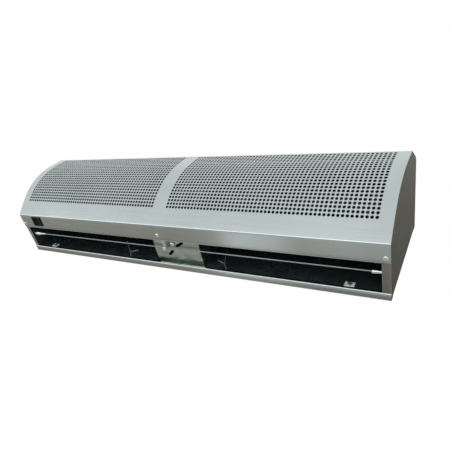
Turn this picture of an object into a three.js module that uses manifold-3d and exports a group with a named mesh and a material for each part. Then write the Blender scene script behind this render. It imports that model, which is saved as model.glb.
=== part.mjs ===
// Air curtain for a doorway: a 900 mm stainless steel unit that hangs on the wall above the door.
//
// Millimetres. +X runs along the unit, +Y points into the wall and +Z points up. The origin is the
// centre of the back face, on the wall. Outlines are lists of [y, h] points, where h is the height
// above the underside: h = 0 is the outlet face and h = HEIGHT is the top.

import * as THREE from 'three';
import { mergeVertices } from 'three/addons/utils/BufferGeometryUtils.js';
import Module from 'manifold-3d';

const wasm = await Module();
wasm.setup();

// Overall size.
const LENGTH = 900;
const HEIGHT = 234;
const HALF = LENGTH / 2;
const SHEET = 1.2; // stainless casing sheet
const DUCT_SHEET = 1; // black painted duct sheet
const GAP = 0.3; // between pieces that touch

// Front cover, seen from the end: flat strip, leaning band, round front, upright, sloping top.
const STRIP_REAR = 73.5; // rear edge of the bottom strip, from the wall
const FOLD_DEPTH = 110; // fold between the strip and the leaning band
const BAND_LEAN = THREE.MathUtils.degToRad(41); // from the vertical
const CURVE_RADIUS = 185;
const FRONT_DEPTH = 178;
const UPRIGHT_TOP = 186.5;
const TOP_DEPTH = 146;
const HEM = 12; // turned-in edges of the cover and of the casing's top
const INNER_HALF = 435.6; // half length of the turned-in edges, which end at the fan chamber

// Perforation of the cover. The real sheet has 5 mm holes, 7.5 mm apart; one hole here stands for a
// block of four by four of them, with the same share of open area.
const REAL_PITCH = 7.5;
const BLOCK = 4;
const HOLE_PITCH = BLOCK * REAL_PITCH;
const HOLE_RADIUS = 10;
const HOLE_SIDES = 6;
const FIRST_BAND = 37.25; // along the cover from the fold to the lower edge of the first row
const HOLE_ROWS = 5;
const HOLE_COLUMNS = 13; // on each side of the plain middle band
const FIRST_COLUMN = 42.5;

// Rear casing: lip behind the outlet, back with a shallow recess for the wall plate, top.
const LIP_FRONT = 15;
const LIP_RADIUS = 2.2;
const LIP_HEM = 5; // turned-in edge of the lip
const RECESS = 2.5;
const RECESS_LOW = 12;
const RECESS_HIGH = 222;
const PAN_WALL = 1.2; // end cap sheet
const PAN_FLANGES = { left: 11, right: 14 }; // width of the flange turned in around each end cap
const SKIN_INSET = SHEET + GAP;

// Wall plate.
const PLATE_HALF = 380;
const PLATE_LOW = 30;
const PLATE_HIGH = 204;
const PLATE_SHEET = 2;
const HOOK_XS = [-340, -200, 200, 340];
const HOOK_HEIGHT = 176;
const HOOK_WIDTH = 24;
const SCREW_HOLE_XS = [-350, -120, 120, 350];
const GROMMET_X = -300;
const GROMMET_HEIGHT = 62;
const GROMMET_HOLE = 11;

// Fan: one motor with a drum wheel on each end of its shaft.
const CENTRE_X = 26; // middle of the motor and of the tray below it, to the right of the unit's middle
const FAN_DEPTH = 86; // shaft axis, from the wall
const FAN_HEIGHT = 128; // shaft axis, above the underside
const WHEEL_RADIUS = 50.5;
const BLADE_INNER = 41.5;
const BLADE_OUTER = 49.8;
const BLADE_COUNT = 20;
const BLADE_SWEEP = THREE.MathUtils.degToRad(11);
const BLADE_THICKNESS = 0.9;
const WHEEL_INNER = 68; // from the motor's middle
const WHEEL_OUTER = 420; // from the unit's middle
const DISC = 2;
const SHAFT_RADIUS = 4;
const BORE_RADIUS = SHAFT_RADIUS + GAP;
const SHAFT_HALF = 82;

// Walls that close the fan chambers.
const BULKHEAD_INNER = 59; // from the motor's middle
const CHAMBER_END_INNER = 435.9;
const WALL_INSET = 4;

// Motor.
const MOTOR_RADIUS = 43;
const STACK_HALF = 15;
const ROTOR_RADIUS = 25;
const AIR_GAP = 0.6;
const NECK_RADIUS = 13.7;
const RING_RADIUS = 22;
const BRACKET_OUTER = 48;
const BRACKET_SHEET = 2;

// What shows in the outlet.
const ROD_DEPTH = 51.5;
const ROD_HEIGHT = 8;
const ROD_RADIUS = 1.5;
const ROD_CLIP_X = 2;
const STAY_KNOTS = { left: [-129, 25], right: [127, 25] }; // [x, h] where each stay's wires meet
const STAY_TIPS = {
  left: [[-171, 63], [-116, 11], [-113, 34.5]],
  right: [[108, 72], [139, 11], [108, 33]],
};
const CLIP_X = 382;
const CLIP_HEIGHT = 12;
const GUIDE_FACE = 13.2; // front face of the rear guide, from the wall
const SPIRAL_ANGLE = -20; // where the guide's leg turns into its spiral, about the shaft, in degrees
const SPIRAL_START = (FAN_DEPTH - GUIDE_FACE + DUCT_SHEET) / Math.cos(THREE.MathUtils.degToRad(SPIRAL_ANGLE));
const TRAY_SLOTS = [[[2.5, 31], [14, 41]], [[28, 54], [44, 62.5]]]; // [x, depth] ends of the tray's slots
const TRAY_SLOT_RADIUS = 3.1;

// Rocker switch in the strip, near the left end.
const SWITCH_X = -389;
const SWITCH_DEPTH = 93.3;
const BEZEL_LENGTH = 33;
const BEZEL_WIDTH = 24.4;
const BEZEL_THICKNESS = 1.6;
const WELL_HALF = 12.6;
const WELL_DEPTH = 7;
const ROCKER_RADIUS = 12.3; // the rounded ends of the rocker, about its pivot
const ROCKER_WIDTH = 19;
const ROCKER_TILT = THREE.MathUtils.degToRad(10);
const ROCKER_PIVOT = 2; // pivot, above the underside of the strip

// Screws through the strip.
const SCREW_POINTS = {
  cover_screw_left: [-442.5, 85],
  cover_screw_centre: [-2, 87],
  cover_screw_right: [442.5, 85],
};
const SCREW_SHANK = 2;
const SCREW_HEAD = 4;

const ROUND = 24; // sides of a large round piece
const SMALL_ROUND = 12;
const WELD = 1e-3; // points closer than this are one

// Finishes.
const finish = (color, roughness, metalness) => new THREE.MeshStandardMaterial({ color, roughness, metalness });
const STAINLESS = finish(0xa9afad, 0.35, 1);
const STAINLESS_DARK = finish(0x77766f, 0.4, 1);
const GALVANISED = finish(0x9da3a6, 0.5, 0.9);
const BLACK_PAINT = finish(0x14181a, 0.3, 0.1);
const ZINC = finish(0xc8ced0, 0.3, 1);
const ALUMINIUM = finish(0xb4b8ba, 0.4, 1);
const LAMINATION = finish(0x55585a, 0.6, 0.8);
const COPPER = finish(0x9a5a32, 0.4, 0.9);
const BRONZE = finish(0xa07b45, 0.4, 0.9);
const STEEL = finish(0x8b8f92, 0.35, 1);
const RUBBER = finish(0x1c1c1c, 0.9, 0);
const BLACK_PLASTIC = finish(0x111315, 0.35, 0);
const NYLON = finish(0xd9d8cf, 0.6, 0);
const CAPACITOR_CASE = finish(0x2a2d33, 0.5, 0);

const zOf = (h) => h - HEIGHT / 2;

/** The place on X at a distance from the motor's middle. */
const atCentre = (side, distance) => CENTRE_X + side * distance;

// ---------------------------------------------------------------------------------------------
// Solids

/** Six times the volume that a merged geometry encloses; negative when its faces point inwards. */
function signedVolume(geometry) {
  const points = geometry.attributes.position;
  const [a, b, c] = [new THREE.Vector3(), new THREE.Vector3(), new THREE.Vector3()];
  let total = 0;
  for (let i = 0; i < geometry.index.count; i += 3) {
    [a, b, c].forEach((corner, k) => corner.fromBufferAttribute(points, geometry.index.getX(i + k)));
    total += a.dot(b.cross(c));
  }
  return total;
}

/** A closed geometry as a solid that can be cut and joined. */
function toSolid(geometry) {
  geometry.deleteAttribute('normal');
  geometry.deleteAttribute('uv');
  const merged = mergeVertices(geometry, WELD);
  const triangles = Uint32Array.from(merged.index.array);
  if (signedVolume(merged) < 0) {
    triangles.reverse();
  }
  const vertProperties = Float32Array.from(merged.attributes.position.array);
  return new wasm.Manifold(new wasm.Mesh({ numProp: 3, vertProperties, triVerts: triangles }));
}

/** A named mesh of a solid. */
function piece(name, solid, material) {
  const data = solid.asOriginal().simplify(WELD).getMesh();
  const geometry = new THREE.BufferGeometry();
  geometry.setAttribute('position', new THREE.BufferAttribute(data.vertProperties, 3));
  geometry.setIndex(new THREE.BufferAttribute(data.triVerts, 1));
  const mesh = new THREE.Mesh(geometry, material);
  mesh.name = name;
  return mesh;
}

const join = (...solids) => solids.reduce((whole, solid) => whole.add(solid));
const cut = (solid, ...tools) => tools.reduce((rest, tool) => rest.subtract(tool), solid);

// ---------------------------------------------------------------------------------------------
// Outlines in the end view

/** The run of points moved sideways, to the right of the way it runs, with mitred corners. */
function offsetRun(run, distance, closed = false) {
  const count = run.length;
  const normal = (i, j) => {
    const [dy, dh] = [run[j][0] - run[i][0], run[j][1] - run[i][1]];
    const size = Math.hypot(dy, dh);
    return [dh / size, -dy / size];
  };
  return run.map(([y, h], i) => {
    const before = i > 0 ? i - 1 : count - 1;
    const after = i < count - 1 ? i + 1 : 0;
    const first = i > 0 || closed ? normal(before, i) : normal(i, after);
    const second = i < count - 1 || closed ? normal(i, after) : first;
    const share = distance / (1 + first[0] * second[0] + first[1] * second[1]);
    return [y + share * (first[0] + second[0]), h + share * (first[1] + second[1])];
  });
}

/** The outline of a sheet that follows a run; a negative thickness lies to the left of the run. */
const sheetOutline = (run, thickness) => [...run, ...offsetRun(run, thickness).reverse()];

const ALONG_X = new THREE.Matrix4().makeBasis(
  new THREE.Vector3(0, 1, 0),
  new THREE.Vector3(0, 0, 1),
  new THREE.Vector3(1, 0, 0),
);

/** A prism whose outline is the same all along X, between two places on X. */
function prismX(outline, xa, xb) {
  const shape = new THREE.Shape(outline.map(([y, h]) => new THREE.Vector2(y, zOf(h))));
  const depth = Math.abs(xb - xa);
  const geometry = new THREE.ExtrudeGeometry(shape, { depth, bevelEnabled: false });
  return toSolid(geometry.applyMatrix4(ALONG_X).translate(Math.min(xa, xb), 0, 0));
}

/** A box between two places on each of X, depth from the wall and height above the underside. */
function block([xa, xb], [depthA, depthB], [ha, hb]) {
  const geometry = new THREE.BoxGeometry(Math.abs(xb - xa), Math.abs(depthB - depthA), Math.abs(hb - ha));
  return toSolid(geometry.translate((xa + xb) / 2, -(depthA + depthB) / 2, zOf((ha + hb) / 2)));
}

/** A cylinder along X, centred on the origin's axis. */
function cylinderX(radius, xa, xb, sides = ROUND) {
  const geometry = new THREE.CylinderGeometry(radius, radius, Math.abs(xb - xa), sides);
  return toSolid(geometry.rotateZ(-Math.PI / 2).translate((xa + xb) / 2, 0, 0));
}

/** A cylinder along X at a depth from the wall and a height above the underside. */
const cylinderAt = (radius, xa, xb, depth, h, sides = ROUND) =>
  cylinderX(radius, xa, xb, sides).translate([0, -depth, zOf(h)]);

/** A cylinder along Y through [x, h], between two depths from the wall. */
function cylinderY(radius, [x, h], [depthA, depthB], sides = SMALL_ROUND) {
  const geometry = new THREE.CylinderGeometry(radius, radius, Math.abs(depthB - depthA), sides);
  return toSolid(geometry.translate(x, -(depthA + depthB) / 2, zOf(h)));
}

/** A piece turned about X from a closed loop of [radius, place along X] points. */
function turnedX(loop, side = 1, sides = ROUND) {
  const points = [...loop, loop[0]].map(([radius, along]) => new THREE.Vector2(radius, side * along));
  return toSolid(new THREE.LatheGeometry(points, sides).rotateZ(-Math.PI / 2));
}

/** A plain ring about X. */
const ringX = (inner, outer, xa, xb, side = 1, sides = ROUND) =>
  turnedX([[inner, xa], [outer, xa], [outer, xb], [inner, xb]], side, sides);

/** Points on a round corner from one angle to another, in degrees from +Y towards up. */
function cornerPoints([y, h], radius, from, to, steps) {
  return Array.from({ length: steps + 1 }, (_, i) => {
    const angle = THREE.MathUtils.degToRad(from + ((to - from) * i) / steps);
    return [y + radius * Math.cos(angle), h + radius * Math.sin(angle)];
  });
}

// ---------------------------------------------------------------------------------------------
// Casing

const BAND_FLAT = (FRONT_DEPTH - FOLD_DEPTH - CURVE_RADIUS * (1 - Math.cos(BAND_LEAN))) / Math.sin(BAND_LEAN);
const CURVE_TOP = BAND_FLAT * Math.cos(BAND_LEAN) + CURVE_RADIUS * Math.sin(BAND_LEAN);

/** The point of the cover's outer face at a distance along it from the fold. */
function coverPoint(distance) {
  if (distance < BAND_FLAT) {
    return [-FOLD_DEPTH - distance * Math.sin(BAND_LEAN), distance * Math.cos(BAND_LEAN)];
  }
  const lean = BAND_LEAN - (distance - BAND_FLAT) / CURVE_RADIUS;
  if (lean > 0) {
    const centre = CURVE_RADIUS - FRONT_DEPTH;
    return [centre - CURVE_RADIUS * Math.cos(lean), CURVE_TOP - CURVE_RADIUS * Math.sin(lean)];
  }
  return [-FRONT_DEPTH, CURVE_TOP - lean * CURVE_RADIUS];
}

/** Points of the cover at the edges between the rows of holes, so each row lies on a flat facet. */
const bandEdges = () =>
  Array.from({ length: HOLE_ROWS + 1 }, (_, row) => coverPoint(FIRST_BAND + row * HOLE_PITCH));

/** The cover's outer face from the strip's rear edge to the top front edge. */
const coverSkin = () => [
  [-STRIP_REAR, 0],
  [-FOLD_DEPTH, 0],
  ...bandEdges(),
  [-FRONT_DEPTH, UPRIGHT_TOP],
  [-TOP_DEPTH, HEIGHT],
];

/** The casing's outer face behind the cover, from the top front edge down to the wall corner. */
const backOfCasing = () => [
  [0, HEIGHT],
  [0, RECESS_HIGH],
  [-RECESS, RECESS_HIGH - RECESS],
  [-RECESS, RECESS_LOW + RECESS],
  [0, RECESS_LOW],
];

/** The closed outline of the whole unit, seen from the end. */
const unitOutline = () => [[0, 0], ...coverSkin().slice(1), ...backOfCasing()];

/** One six-sided cutter for each hole of the cover. */
function perforation() {
  const edges = bandEdges();
  const cutters = [];
  for (let row = 0; row < HOLE_ROWS; row += 1) {
    const [[ya, ha], [yb, hb]] = [edges[row], edges[row + 1]];
    const lean = Math.atan2(yb - ya, hb - ha);
    for (let column = 0; column < HOLE_COLUMNS; column += 1) {
      for (const side of [-1, 1]) {
        const x = side * (FIRST_COLUMN + column * HOLE_PITCH);
        const hole = new THREE.CylinderGeometry(HOLE_RADIUS, HOLE_RADIUS, 10, HOLE_SIDES);
        hole.rotateX(-lean).translate(x, (ya + yb) / 2, zOf((ha + hb) / 2));
        cutters.push(toSolid(hole));
      }
    }
  }
  return wasm.Manifold.compose(cutters);
}

/** A cutter for each screw that goes up through the strip. */
const screwHoles = () =>
  Object.values(SCREW_POINTS).map(([x, depth]) =>
    screwShank(SCREW_SHANK + GAP, 20).translate([x, -depth, zOf(0)]));

function screwShank(radius, length) {
  const geometry = new THREE.CylinderGeometry(radius, radius, length, SMALL_ROUND);
  return toSolid(geometry.rotateX(Math.PI / 2));
}

function frontCover() {
  const skin = coverSkin();
  const turnedIn = [[-STRIP_REAR, HEM], ...skin, [-TOP_DEPTH, HEIGHT - HEM]];
  const sheet = join(
    prismX(sheetOutline(skin, SHEET), -HALF, HALF),
    prismX(sheetOutline(turnedIn, SHEET), -INNER_HALF, INNER_HALF),
  );
  const switchHole = switchBlock(BEZEL_LENGTH - 4, BEZEL_WIDTH - 2.4, -5, 5);
  return cut(sheet, perforation(), switchHole, ...screwHoles());
}

function rearCasing() {
  const corner = cornerPoints([-LIP_FRONT + LIP_RADIUS, LIP_RADIUS], LIP_RADIUS, 180, 270, 3);
  const front = -TOP_DEPTH + SKIN_INSET;
  const skin = [...corner, [0, 0], ...backOfCasing().reverse(), [front, HEIGHT]];
  const turnedIn = [[-LIP_FRONT, LIP_HEM], ...skin, [front, HEIGHT - HEM]];
  const sheet = join(
    prismX(sheetOutline(skin, -SHEET), -HALF, HALF),
    prismX(sheetOutline(turnedIn, -SHEET), -INNER_HALF, INNER_HALF),
  );
  const slots = HOOK_XS.map((x) =>
    block([x - HOOK_WIDTH / 2 - 2, x + HOOK_WIDTH / 2 + 2], [1, 6], [HOOK_HEIGHT - 5, HOOK_HEIGHT + 17]));
  return cut(sheet, ...slots, cylinderY(GROMMET_HOLE, [GROMMET_X, GROMMET_HEIGHT], [1, 6]));
}

/** A pan that closes one end of the casing, with a flange turned in all round. */
function endCap(side) {
  const outline = offsetRun(unitOutline(), SKIN_INSET, true);
  const inner = offsetRun(unitOutline(), SKIN_INSET + PAN_WALL, true);
  const flangeEdge = HALF - PAN_FLANGES[side < 0 ? 'left' : 'right'];
  const pan = cut(
    prismX(outline, side * flangeEdge, side * HALF),
    prismX(inner, side * (flangeEdge - 1), side * (HALF - PAN_WALL)),
  );
  const lipNotch = block(
    [side * (flangeEdge - 1), side * (HALF + 1)],
    [LIP_FRONT + GAP, LIP_FRONT - LIP_RADIUS - 1],
    [0, LIP_RADIUS + GAP],
  );
  return cut(pan, lipNotch, ...screwHoles());
}

/** The plate that is screwed to the wall, with four hooks that the casing hangs on. */
function wallPlate() {
  const plate = block([-PLATE_HALF, PLATE_HALF], [0, PLATE_SHEET], [PLATE_LOW, PLATE_HIGH]);
  const hooks = HOOK_XS.flatMap((x) => {
    const width = [x - HOOK_WIDTH / 2, x + HOOK_WIDTH / 2];
    return [
      block(width, [1, 9], [HOOK_HEIGHT, HOOK_HEIGHT + 2]),
      block(width, [7, 9], [HOOK_HEIGHT, HOOK_HEIGHT + 12]),
    ];
  });
  const holes = SCREW_HOLE_XS.flatMap((x) =>
    [PLATE_LOW + 20, PLATE_HIGH - 14].map((h) => cylinderY(4, [x, h], [-1, 3])));
  const cableHole = cylinderY(20, [GROMMET_X, GROMMET_HEIGHT], [-1, 3], ROUND);
  return cut(join(plate, ...hooks), ...holes, cableHole);
}

/** A rubber grommet for the supply cable, in the casing's back. */
function cableGrommet() {
  const loop = [[4.5, -1], [14, -1], [14, -2.2], [10.6, -2.2], [10.6, -4.1], [14, -4.1], [13, -6], [4.5, -6]];
  const points = [...loop, loop[0]].map(([radius, y]) => new THREE.Vector2(radius, y));
  const ring = toSolid(new THREE.LatheGeometry(points, SMALL_ROUND));
  return ring.translate([GROMMET_X, 0, zOf(GROMMET_HEIGHT)]);
}

// ---------------------------------------------------------------------------------------------
// Ducts and walls

/** The black sheet that leads the air from behind the wheel down to the lip. */
function rearGuide(side) {
  const start = SPIRAL_ANGLE;
  const end = 115;
  const steps = 10;
  const spiral = Array.from({ length: steps + 1 }, (_, i) => {
    const angle = start + ((end - start) * i) / steps;
    const radius = THREE.MathUtils.lerp(SPIRAL_START, 55, i / steps);
    return cornerPoints([-FAN_DEPTH, FAN_HEIGHT], radius, angle, angle, 1)[0];
  });
  const run = [[-GUIDE_FACE + DUCT_SHEET, 3], ...spiral, [-111, 187]];
  return prismX(sheetOutline(run, -DUCT_SHEET), atCentre(side, BULKHEAD_INNER + 1.5), side * INNER_HALF);
}

/** The black sheet in front of the outlet, whose nose splits the air from the wheel. */
function frontGuide(side) {
  const run = [
    [-STRIP_REAR - 1.9, 3],
    [-STRIP_REAR - 1.9, 40],
    [-78, 56],
    [-84, 67],
    [-94, 73],
    [-99, 73.5],
    [-103.5, 70],
    [-120, 52],
    [-136.5, 35.5],
  ];
  return prismX(sheetOutline(run, -DUCT_SHEET), atCentre(side, BULKHEAD_INNER + 1.5), side * INNER_HALF);
}

/** The wall between a fan chamber and its end cap, which carries the end bearing. */
function chamberEnd(side) {
  const outline = offsetRun(unitOutline(), WALL_INSET, true);
  const plate = prismX(outline, side * CHAMBER_END_INNER, side * (CHAMBER_END_INNER + SHEET));
  const aboveLip = block([-HALF, HALF], [-10, FRONT_DEPTH + 10], [LIP_RADIUS + 2 * GAP, HEIGHT]);
  const bearingHole = cylinderAt(8, side * 430, side * 445, FAN_DEPTH, FAN_HEIGHT, SMALL_ROUND);
  return cut(plate.intersect(aboveLip), bearingHole);
}

/** The wall between a fan chamber and the motor. */
function bulkhead(side) {
  const outline = offsetRun(unitOutline(), WALL_INSET, true);
  const plate = prismX(outline, atCentre(side, BULKHEAD_INNER), atCentre(side, BULKHEAD_INNER + SHEET));
  const band = block([-HALF, HALF], [-10, FRONT_DEPTH + 10], [HEM + 1, HEIGHT - HEM - 1]);
  const shaftHole = cylinderAt(17, atCentre(side, 50), atCentre(side, 70), FAN_DEPTH, FAN_HEIGHT);
  return cut(plate.intersect(band), shaftHole);
}

/** A slot through the tray between two [x, depth from the wall] points. */
function traySlot(radius, ...ends) {
  const round = ([x, depth]) => {
    const geometry = new THREE.CylinderGeometry(radius, radius, 12, SMALL_ROUND).rotateX(Math.PI / 2);
    return toSolid(geometry.translate(x, -depth, zOf(14)));
  };
  return wasm.Manifold.hull(ends.map(round));
}

/** The stainless tray that closes the outlet under the motor, with a low ridge along its middle. */
function centrePlate() {
  const half = BULKHEAD_INNER - GAP;
  const front = -STRIP_REAR - 1.6;
  const run = [[front, 3], [front, 14], [front + 1.6, 15.5], [-42, 12], [-6, 14.5], [-4.6, 16], [-4.6, 26]];
  const tray = prismX(sheetOutline(run, -SHEET), CENTRE_X - half, CENTRE_X + half);
  const end = [
    [front - 0.8, 14.4],
    [front + 1.4, 16.2],
    [-42, 12.7],
    [-6.3, 15.2],
    [-5.2, 16.3],
    [-5.2, 24],
    [front - 0.8, 24],
  ];
  const ends = [-1, 1].map((side) => prismX(end, atCentre(side, half), atCentre(side, half - SHEET)));
  const slots = TRAY_SLOTS.map((points) => traySlot(TRAY_SLOT_RADIUS, ...points));
  return cut(join(tray, ...ends), ...slots);
}

// ---------------------------------------------------------------------------------------------
// Motor and wheels. These are made about the X axis, and the fan group lies on the shaft axis.

const motorStator = () => ringX(ROTOR_RADIUS + AIR_GAP, MOTOR_RADIUS, -STACK_HALF, STACK_HALF);

const rotorCore = () => ringX(BORE_RADIUS, ROTOR_RADIUS, -STACK_HALF - 2, STACK_HALF + 2);

const motorShaft = () => cylinderX(SHAFT_RADIUS, -SHAFT_HALF, SHAFT_HALF, SMALL_ROUND);

/** A cup that closes one end of the motor, with a neck that holds the bearing. */
function motorShield(side) {
  const loop = [
    [MOTOR_RADIUS, STACK_HALF + GAP],
    [MOTOR_RADIUS, 34],
    [MOTOR_RADIUS - 4, 38],
    [NECK_RADIUS, 38],
    [NECK_RADIUS, 51],
    [9.3, 51],
    [9.3, 35],
    [MOTOR_RADIUS - 4, 33],
    [MOTOR_RADIUS - 3, STACK_HALF + GAP],
  ];
  return turnedX(loop, side);
}

/** The copper end turns of the stator, as one ring. */
const statorWinding = (side) =>
  turnedX([[28, 15.6], [37, 15.6], [38.5, 20], [36, 26], [30, 27], [27, 21]], side);

const motorBearing = (side) => ringX(BORE_RADIUS, 9, 40.4, 49, side, SMALL_ROUND);

const motorRing = (side) => ringX(NECK_RADIUS + GAP, RING_RADIUS, 43, 51, side);

/** A bracket on the casing's back whose two arms hold the rubber rings of the motor. */
function motorBracket() {
  const back = RECESS + SHEET + GAP;
  const base = block([-BRACKET_OUTER, BRACKET_OUTER], [back, back + BRACKET_SHEET], [96, 160]);
  const arms = [-1, 1].map((side) =>
    block([side * (BRACKET_OUTER - BRACKET_SHEET), side * BRACKET_OUTER], [back, FAN_DEPTH], [98, 158]));
  const seat = cylinderAt(RING_RADIUS + GAP, -HALF, HALF, FAN_DEPTH, FAN_HEIGHT);
  return cut(join(base, ...arms), seat);
}

/** A strap that holds a rubber ring in its bracket arm. */
function motorClamp(side) {
  const front = FAN_DEPTH + GAP;
  const xs = [side * 44, side * 50];
  const inner = RING_RADIUS + GAP;
  const strap = cylinderAt(inner + 2.4, ...xs, FAN_DEPTH, FAN_HEIGHT);
  const frontHalf = block([side * 40, side * 54], [front, FAN_DEPTH + 40], [90, 170]);
  const ears = block(xs, [front, front + 2.4], [FAN_HEIGHT - 31, FAN_HEIGHT + 31]);
  const bore = cylinderAt(inner, side * 40, side * 54, FAN_DEPTH, FAN_HEIGHT);
  return cut(join(strap.intersect(frontHalf), ears), bore);
}

/** The outline of one curved blade, at an angle about the shaft. */
function bladeOutline(angle) {
  const stations = [0, 0.5, 1];
  const edge = (thickness) => stations.map((t) => {
    const radius = THREE.MathUtils.lerp(BLADE_INNER, BLADE_OUTER, t);
    const turn = angle + BLADE_SWEEP * t * t + thickness / radius;
    return [radius * Math.cos(turn), radius * Math.sin(turn) + HEIGHT / 2];
  });
  return [...edge(0), ...edge(BLADE_THICKNESS).reverse()];
}

/** The distance from the motor's middle of a place that is given from the unit's middle. */
const fromMotor = (side, distance) => distance - side * CENTRE_X;

/** A drum of curved blades between an end disc with a hub, a middle ring and an outer disc. */
function fanWheel(side) {
  const outer = fromMotor(side, WHEEL_OUTER);
  const middle = (WHEEL_INNER + outer) / 2;
  const discs = [
    ringX(BORE_RADIUS, WHEEL_RADIUS, WHEEL_INNER, WHEEL_INNER + DISC, side),
    ringX(BORE_RADIUS, 12, WHEEL_INNER - 6, WHEEL_INNER + 12, side, SMALL_ROUND),
    ringX(BLADE_INNER - 1.5, WHEEL_RADIUS, middle - DISC / 2, middle + DISC / 2, side),
    ringX(BORE_RADIUS, WHEEL_RADIUS, outer - DISC, outer, side),
    ringX(BORE_RADIUS, 9, outer - 16, outer, side, SMALL_ROUND),
  ];
  const blades = Array.from({ length: BLADE_COUNT }, (_, i) =>
    prismX(bladeOutline((i * 2 * Math.PI) / BLADE_COUNT), side * (WHEEL_INNER + 1), side * (outer - 1)));
  return join(...discs, ...blades);
}

const endShaft = (side) =>
  cylinderX(SHAFT_RADIUS, side * fromMotor(side, WHEEL_OUTER - 14), side * fromMotor(side, 434), SMALL_ROUND);

const endBush = (side) =>
  ringX(BORE_RADIUS + 0.1, 7, fromMotor(side, 425), fromMotor(side, 434.5), side, SMALL_ROUND);

const bushRubber = (side) => ringX(7 + GAP, 13, fromMotor(side, 424.5), fromMotor(side, INNER_HALF), side);

// ---------------------------------------------------------------------------------------------
// What shows in the outlet

const guardRod = () => cylinderAt(ROD_RADIUS, -433.5, 433.5, ROD_DEPTH, ROD_HEIGHT, SMALL_ROUND);

/** The sleeve that holds one end of the rod against the wall: long and belled at the left, short at the right. */
function rodFerrule(side) {
  const bore = ROD_RADIUS + GAP;
  const left = [[bore, 395], [2.6, 395], [3.2, 410], [4.8, 420], [4.8, 427], [3.4, INNER_HALF], [bore, INNER_HALF]];
  const right = [[bore, 420], [3.6, 421], [3.6, 429], [2.6, INNER_HALF], [bore, INNER_HALF]];
  const sleeve = turnedX(side < 0 ? left : right, side, SMALL_ROUND);
  return sleeve.translate([0, -ROD_DEPTH, zOf(ROD_HEIGHT)]);
}

/** A clip that carries the middle of the rod from the strip's turned-in edge. */
function rodBracket() {
  const xs = [ROD_CLIP_X - 4, ROD_CLIP_X + 4];
  const leg = block(xs, [STRIP_REAR - GAP, STRIP_REAR - 1.8], [4.6, 14]);
  const tab = block(xs, [STRIP_REAR - GAP, ROD_DEPTH], [4.2, 5.7]);
  const loop = cylinderAt(ROD_RADIUS + 1.9, ...xs, ROD_DEPTH, ROD_HEIGHT, SMALL_ROUND);
  return cut(join(leg, tab, loop), cylinderAt(ROD_RADIUS + GAP, -9, 12, ROD_DEPTH, ROD_HEIGHT, SMALL_ROUND));
}

/** The hexagon nut under the rod's clip. */
function rodNut() {
  const geometry = new THREE.CylinderGeometry(4.6, 4.6, 3.4, 6).rotateX(Math.PI / 2);
  return toSolid(geometry.translate(ROD_CLIP_X, -ROD_DEPTH, zOf(2)));
}

/** A thin round bar between two [x, h] points, on the face of the rear guide. */
function stayBar([xa, ha], [xb, hb]) {
  const length = Math.hypot(xb - xa, hb - ha);
  const geometry = new THREE.CylinderGeometry(0.8, 0.8, length, 6);
  geometry.rotateX(Math.PI / 2).rotateY(Math.atan2(xb - xa, hb - ha));
  return toSolid(geometry.translate((xa + xb) / 2, -GUIDE_FACE - GAP - 0.8, zOf((ha + hb) / 2)));
}

/** A three-armed wire stay on the rear guide. */
function ductStay(side) {
  const word = side < 0 ? 'left' : 'right';
  return join(...STAY_TIPS[word].map((tip) => stayBar(STAY_KNOTS[word], tip)));
}

/** A zinc clip on the rear guide, with a flat foot and one raised edge. */
function ductClip() {
  const face = GUIDE_FACE + GAP;
  return join(
    block([-9.5, 9.5], [face, face + 1.5], [CLIP_HEIGHT - 6, CLIP_HEIGHT + 6]),
    block([-9.5, -6.5], [face, face + 4], [CLIP_HEIGHT - 6, CLIP_HEIGHT + 6]),
    block([6.5, 9.5], [face, face + 3], [CLIP_HEIGHT - 4, CLIP_HEIGHT + 6]),
  );
}

/** The bolt head in the middle of a clip. */
const clipBolt = () =>
  cylinderY(4.2, [0, CLIP_HEIGHT], [GUIDE_FACE + 2.1, GUIDE_FACE + 5], 6);

/** A pan head screw that points up, with the underside of its head at the origin. */
function panScrew() {
  const profile = [[0, 9], [SCREW_SHANK, 8], [SCREW_SHANK, 0], [SCREW_HEAD, 0], [SCREW_HEAD, -1.2], [2.6, -2.4], [0, -2.6]];
  const points = profile.map(([radius, z]) => new THREE.Vector2(radius, z));
  return toSolid(new THREE.LatheGeometry(points, SMALL_ROUND).rotateX(Math.PI / 2));
}

/** A mesh of a screw, placed under the strip at [x, depth from the wall]. */
function coverScrew(name, [x, depth]) {
  const screw = piece(name, panScrew(), ZINC);
  screw.position.set(x, -depth, zOf(-GAP));
  return screw;
}

/** A large round screw head on the centre plate, head down, placed by its own position. */
function plateScrew() {
  const geometry = new THREE.CylinderGeometry(6, 4.4, 2.6, SMALL_ROUND).rotateX(Math.PI / 2);
  const screw = piece('plate_screw', toSolid(geometry), ZINC);
  screw.position.set(17.5, -57.3, zOf(11.3));
  return screw;
}

// ---------------------------------------------------------------------------------------------
// Switch and electrical pieces in the space behind the strip

/** A box about the switch's centre, between two heights. */
const switchBlock = (length, width, ha, hb) => block(
  [SWITCH_X - length / 2, SWITCH_X + length / 2],
  [SWITCH_DEPTH - width / 2, SWITCH_DEPTH + width / 2],
  [ha, hb],
);

function switchBody() {
  const bezel = switchBlock(BEZEL_LENGTH, BEZEL_WIDTH, -GAP - BEZEL_THICKNESS, -GAP);
  const body = switchBlock(BEZEL_LENGTH - 4.6, BEZEL_WIDTH - 3, -GAP - 0.5, 21);
  const terminals = [-6, 6].map((x) =>
    block([SWITCH_X + x - 0.4, SWITCH_X + x + 0.4], [SWITCH_DEPTH - 3, SWITCH_DEPTH + 3], [20, 29]));
  const well = switchBlock(2 * WELL_HALF, ROCKER_WIDTH + 2 * GAP, -5, WELL_DEPTH);
  return cut(join(body, bezel, ...terminals), well);
}

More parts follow.
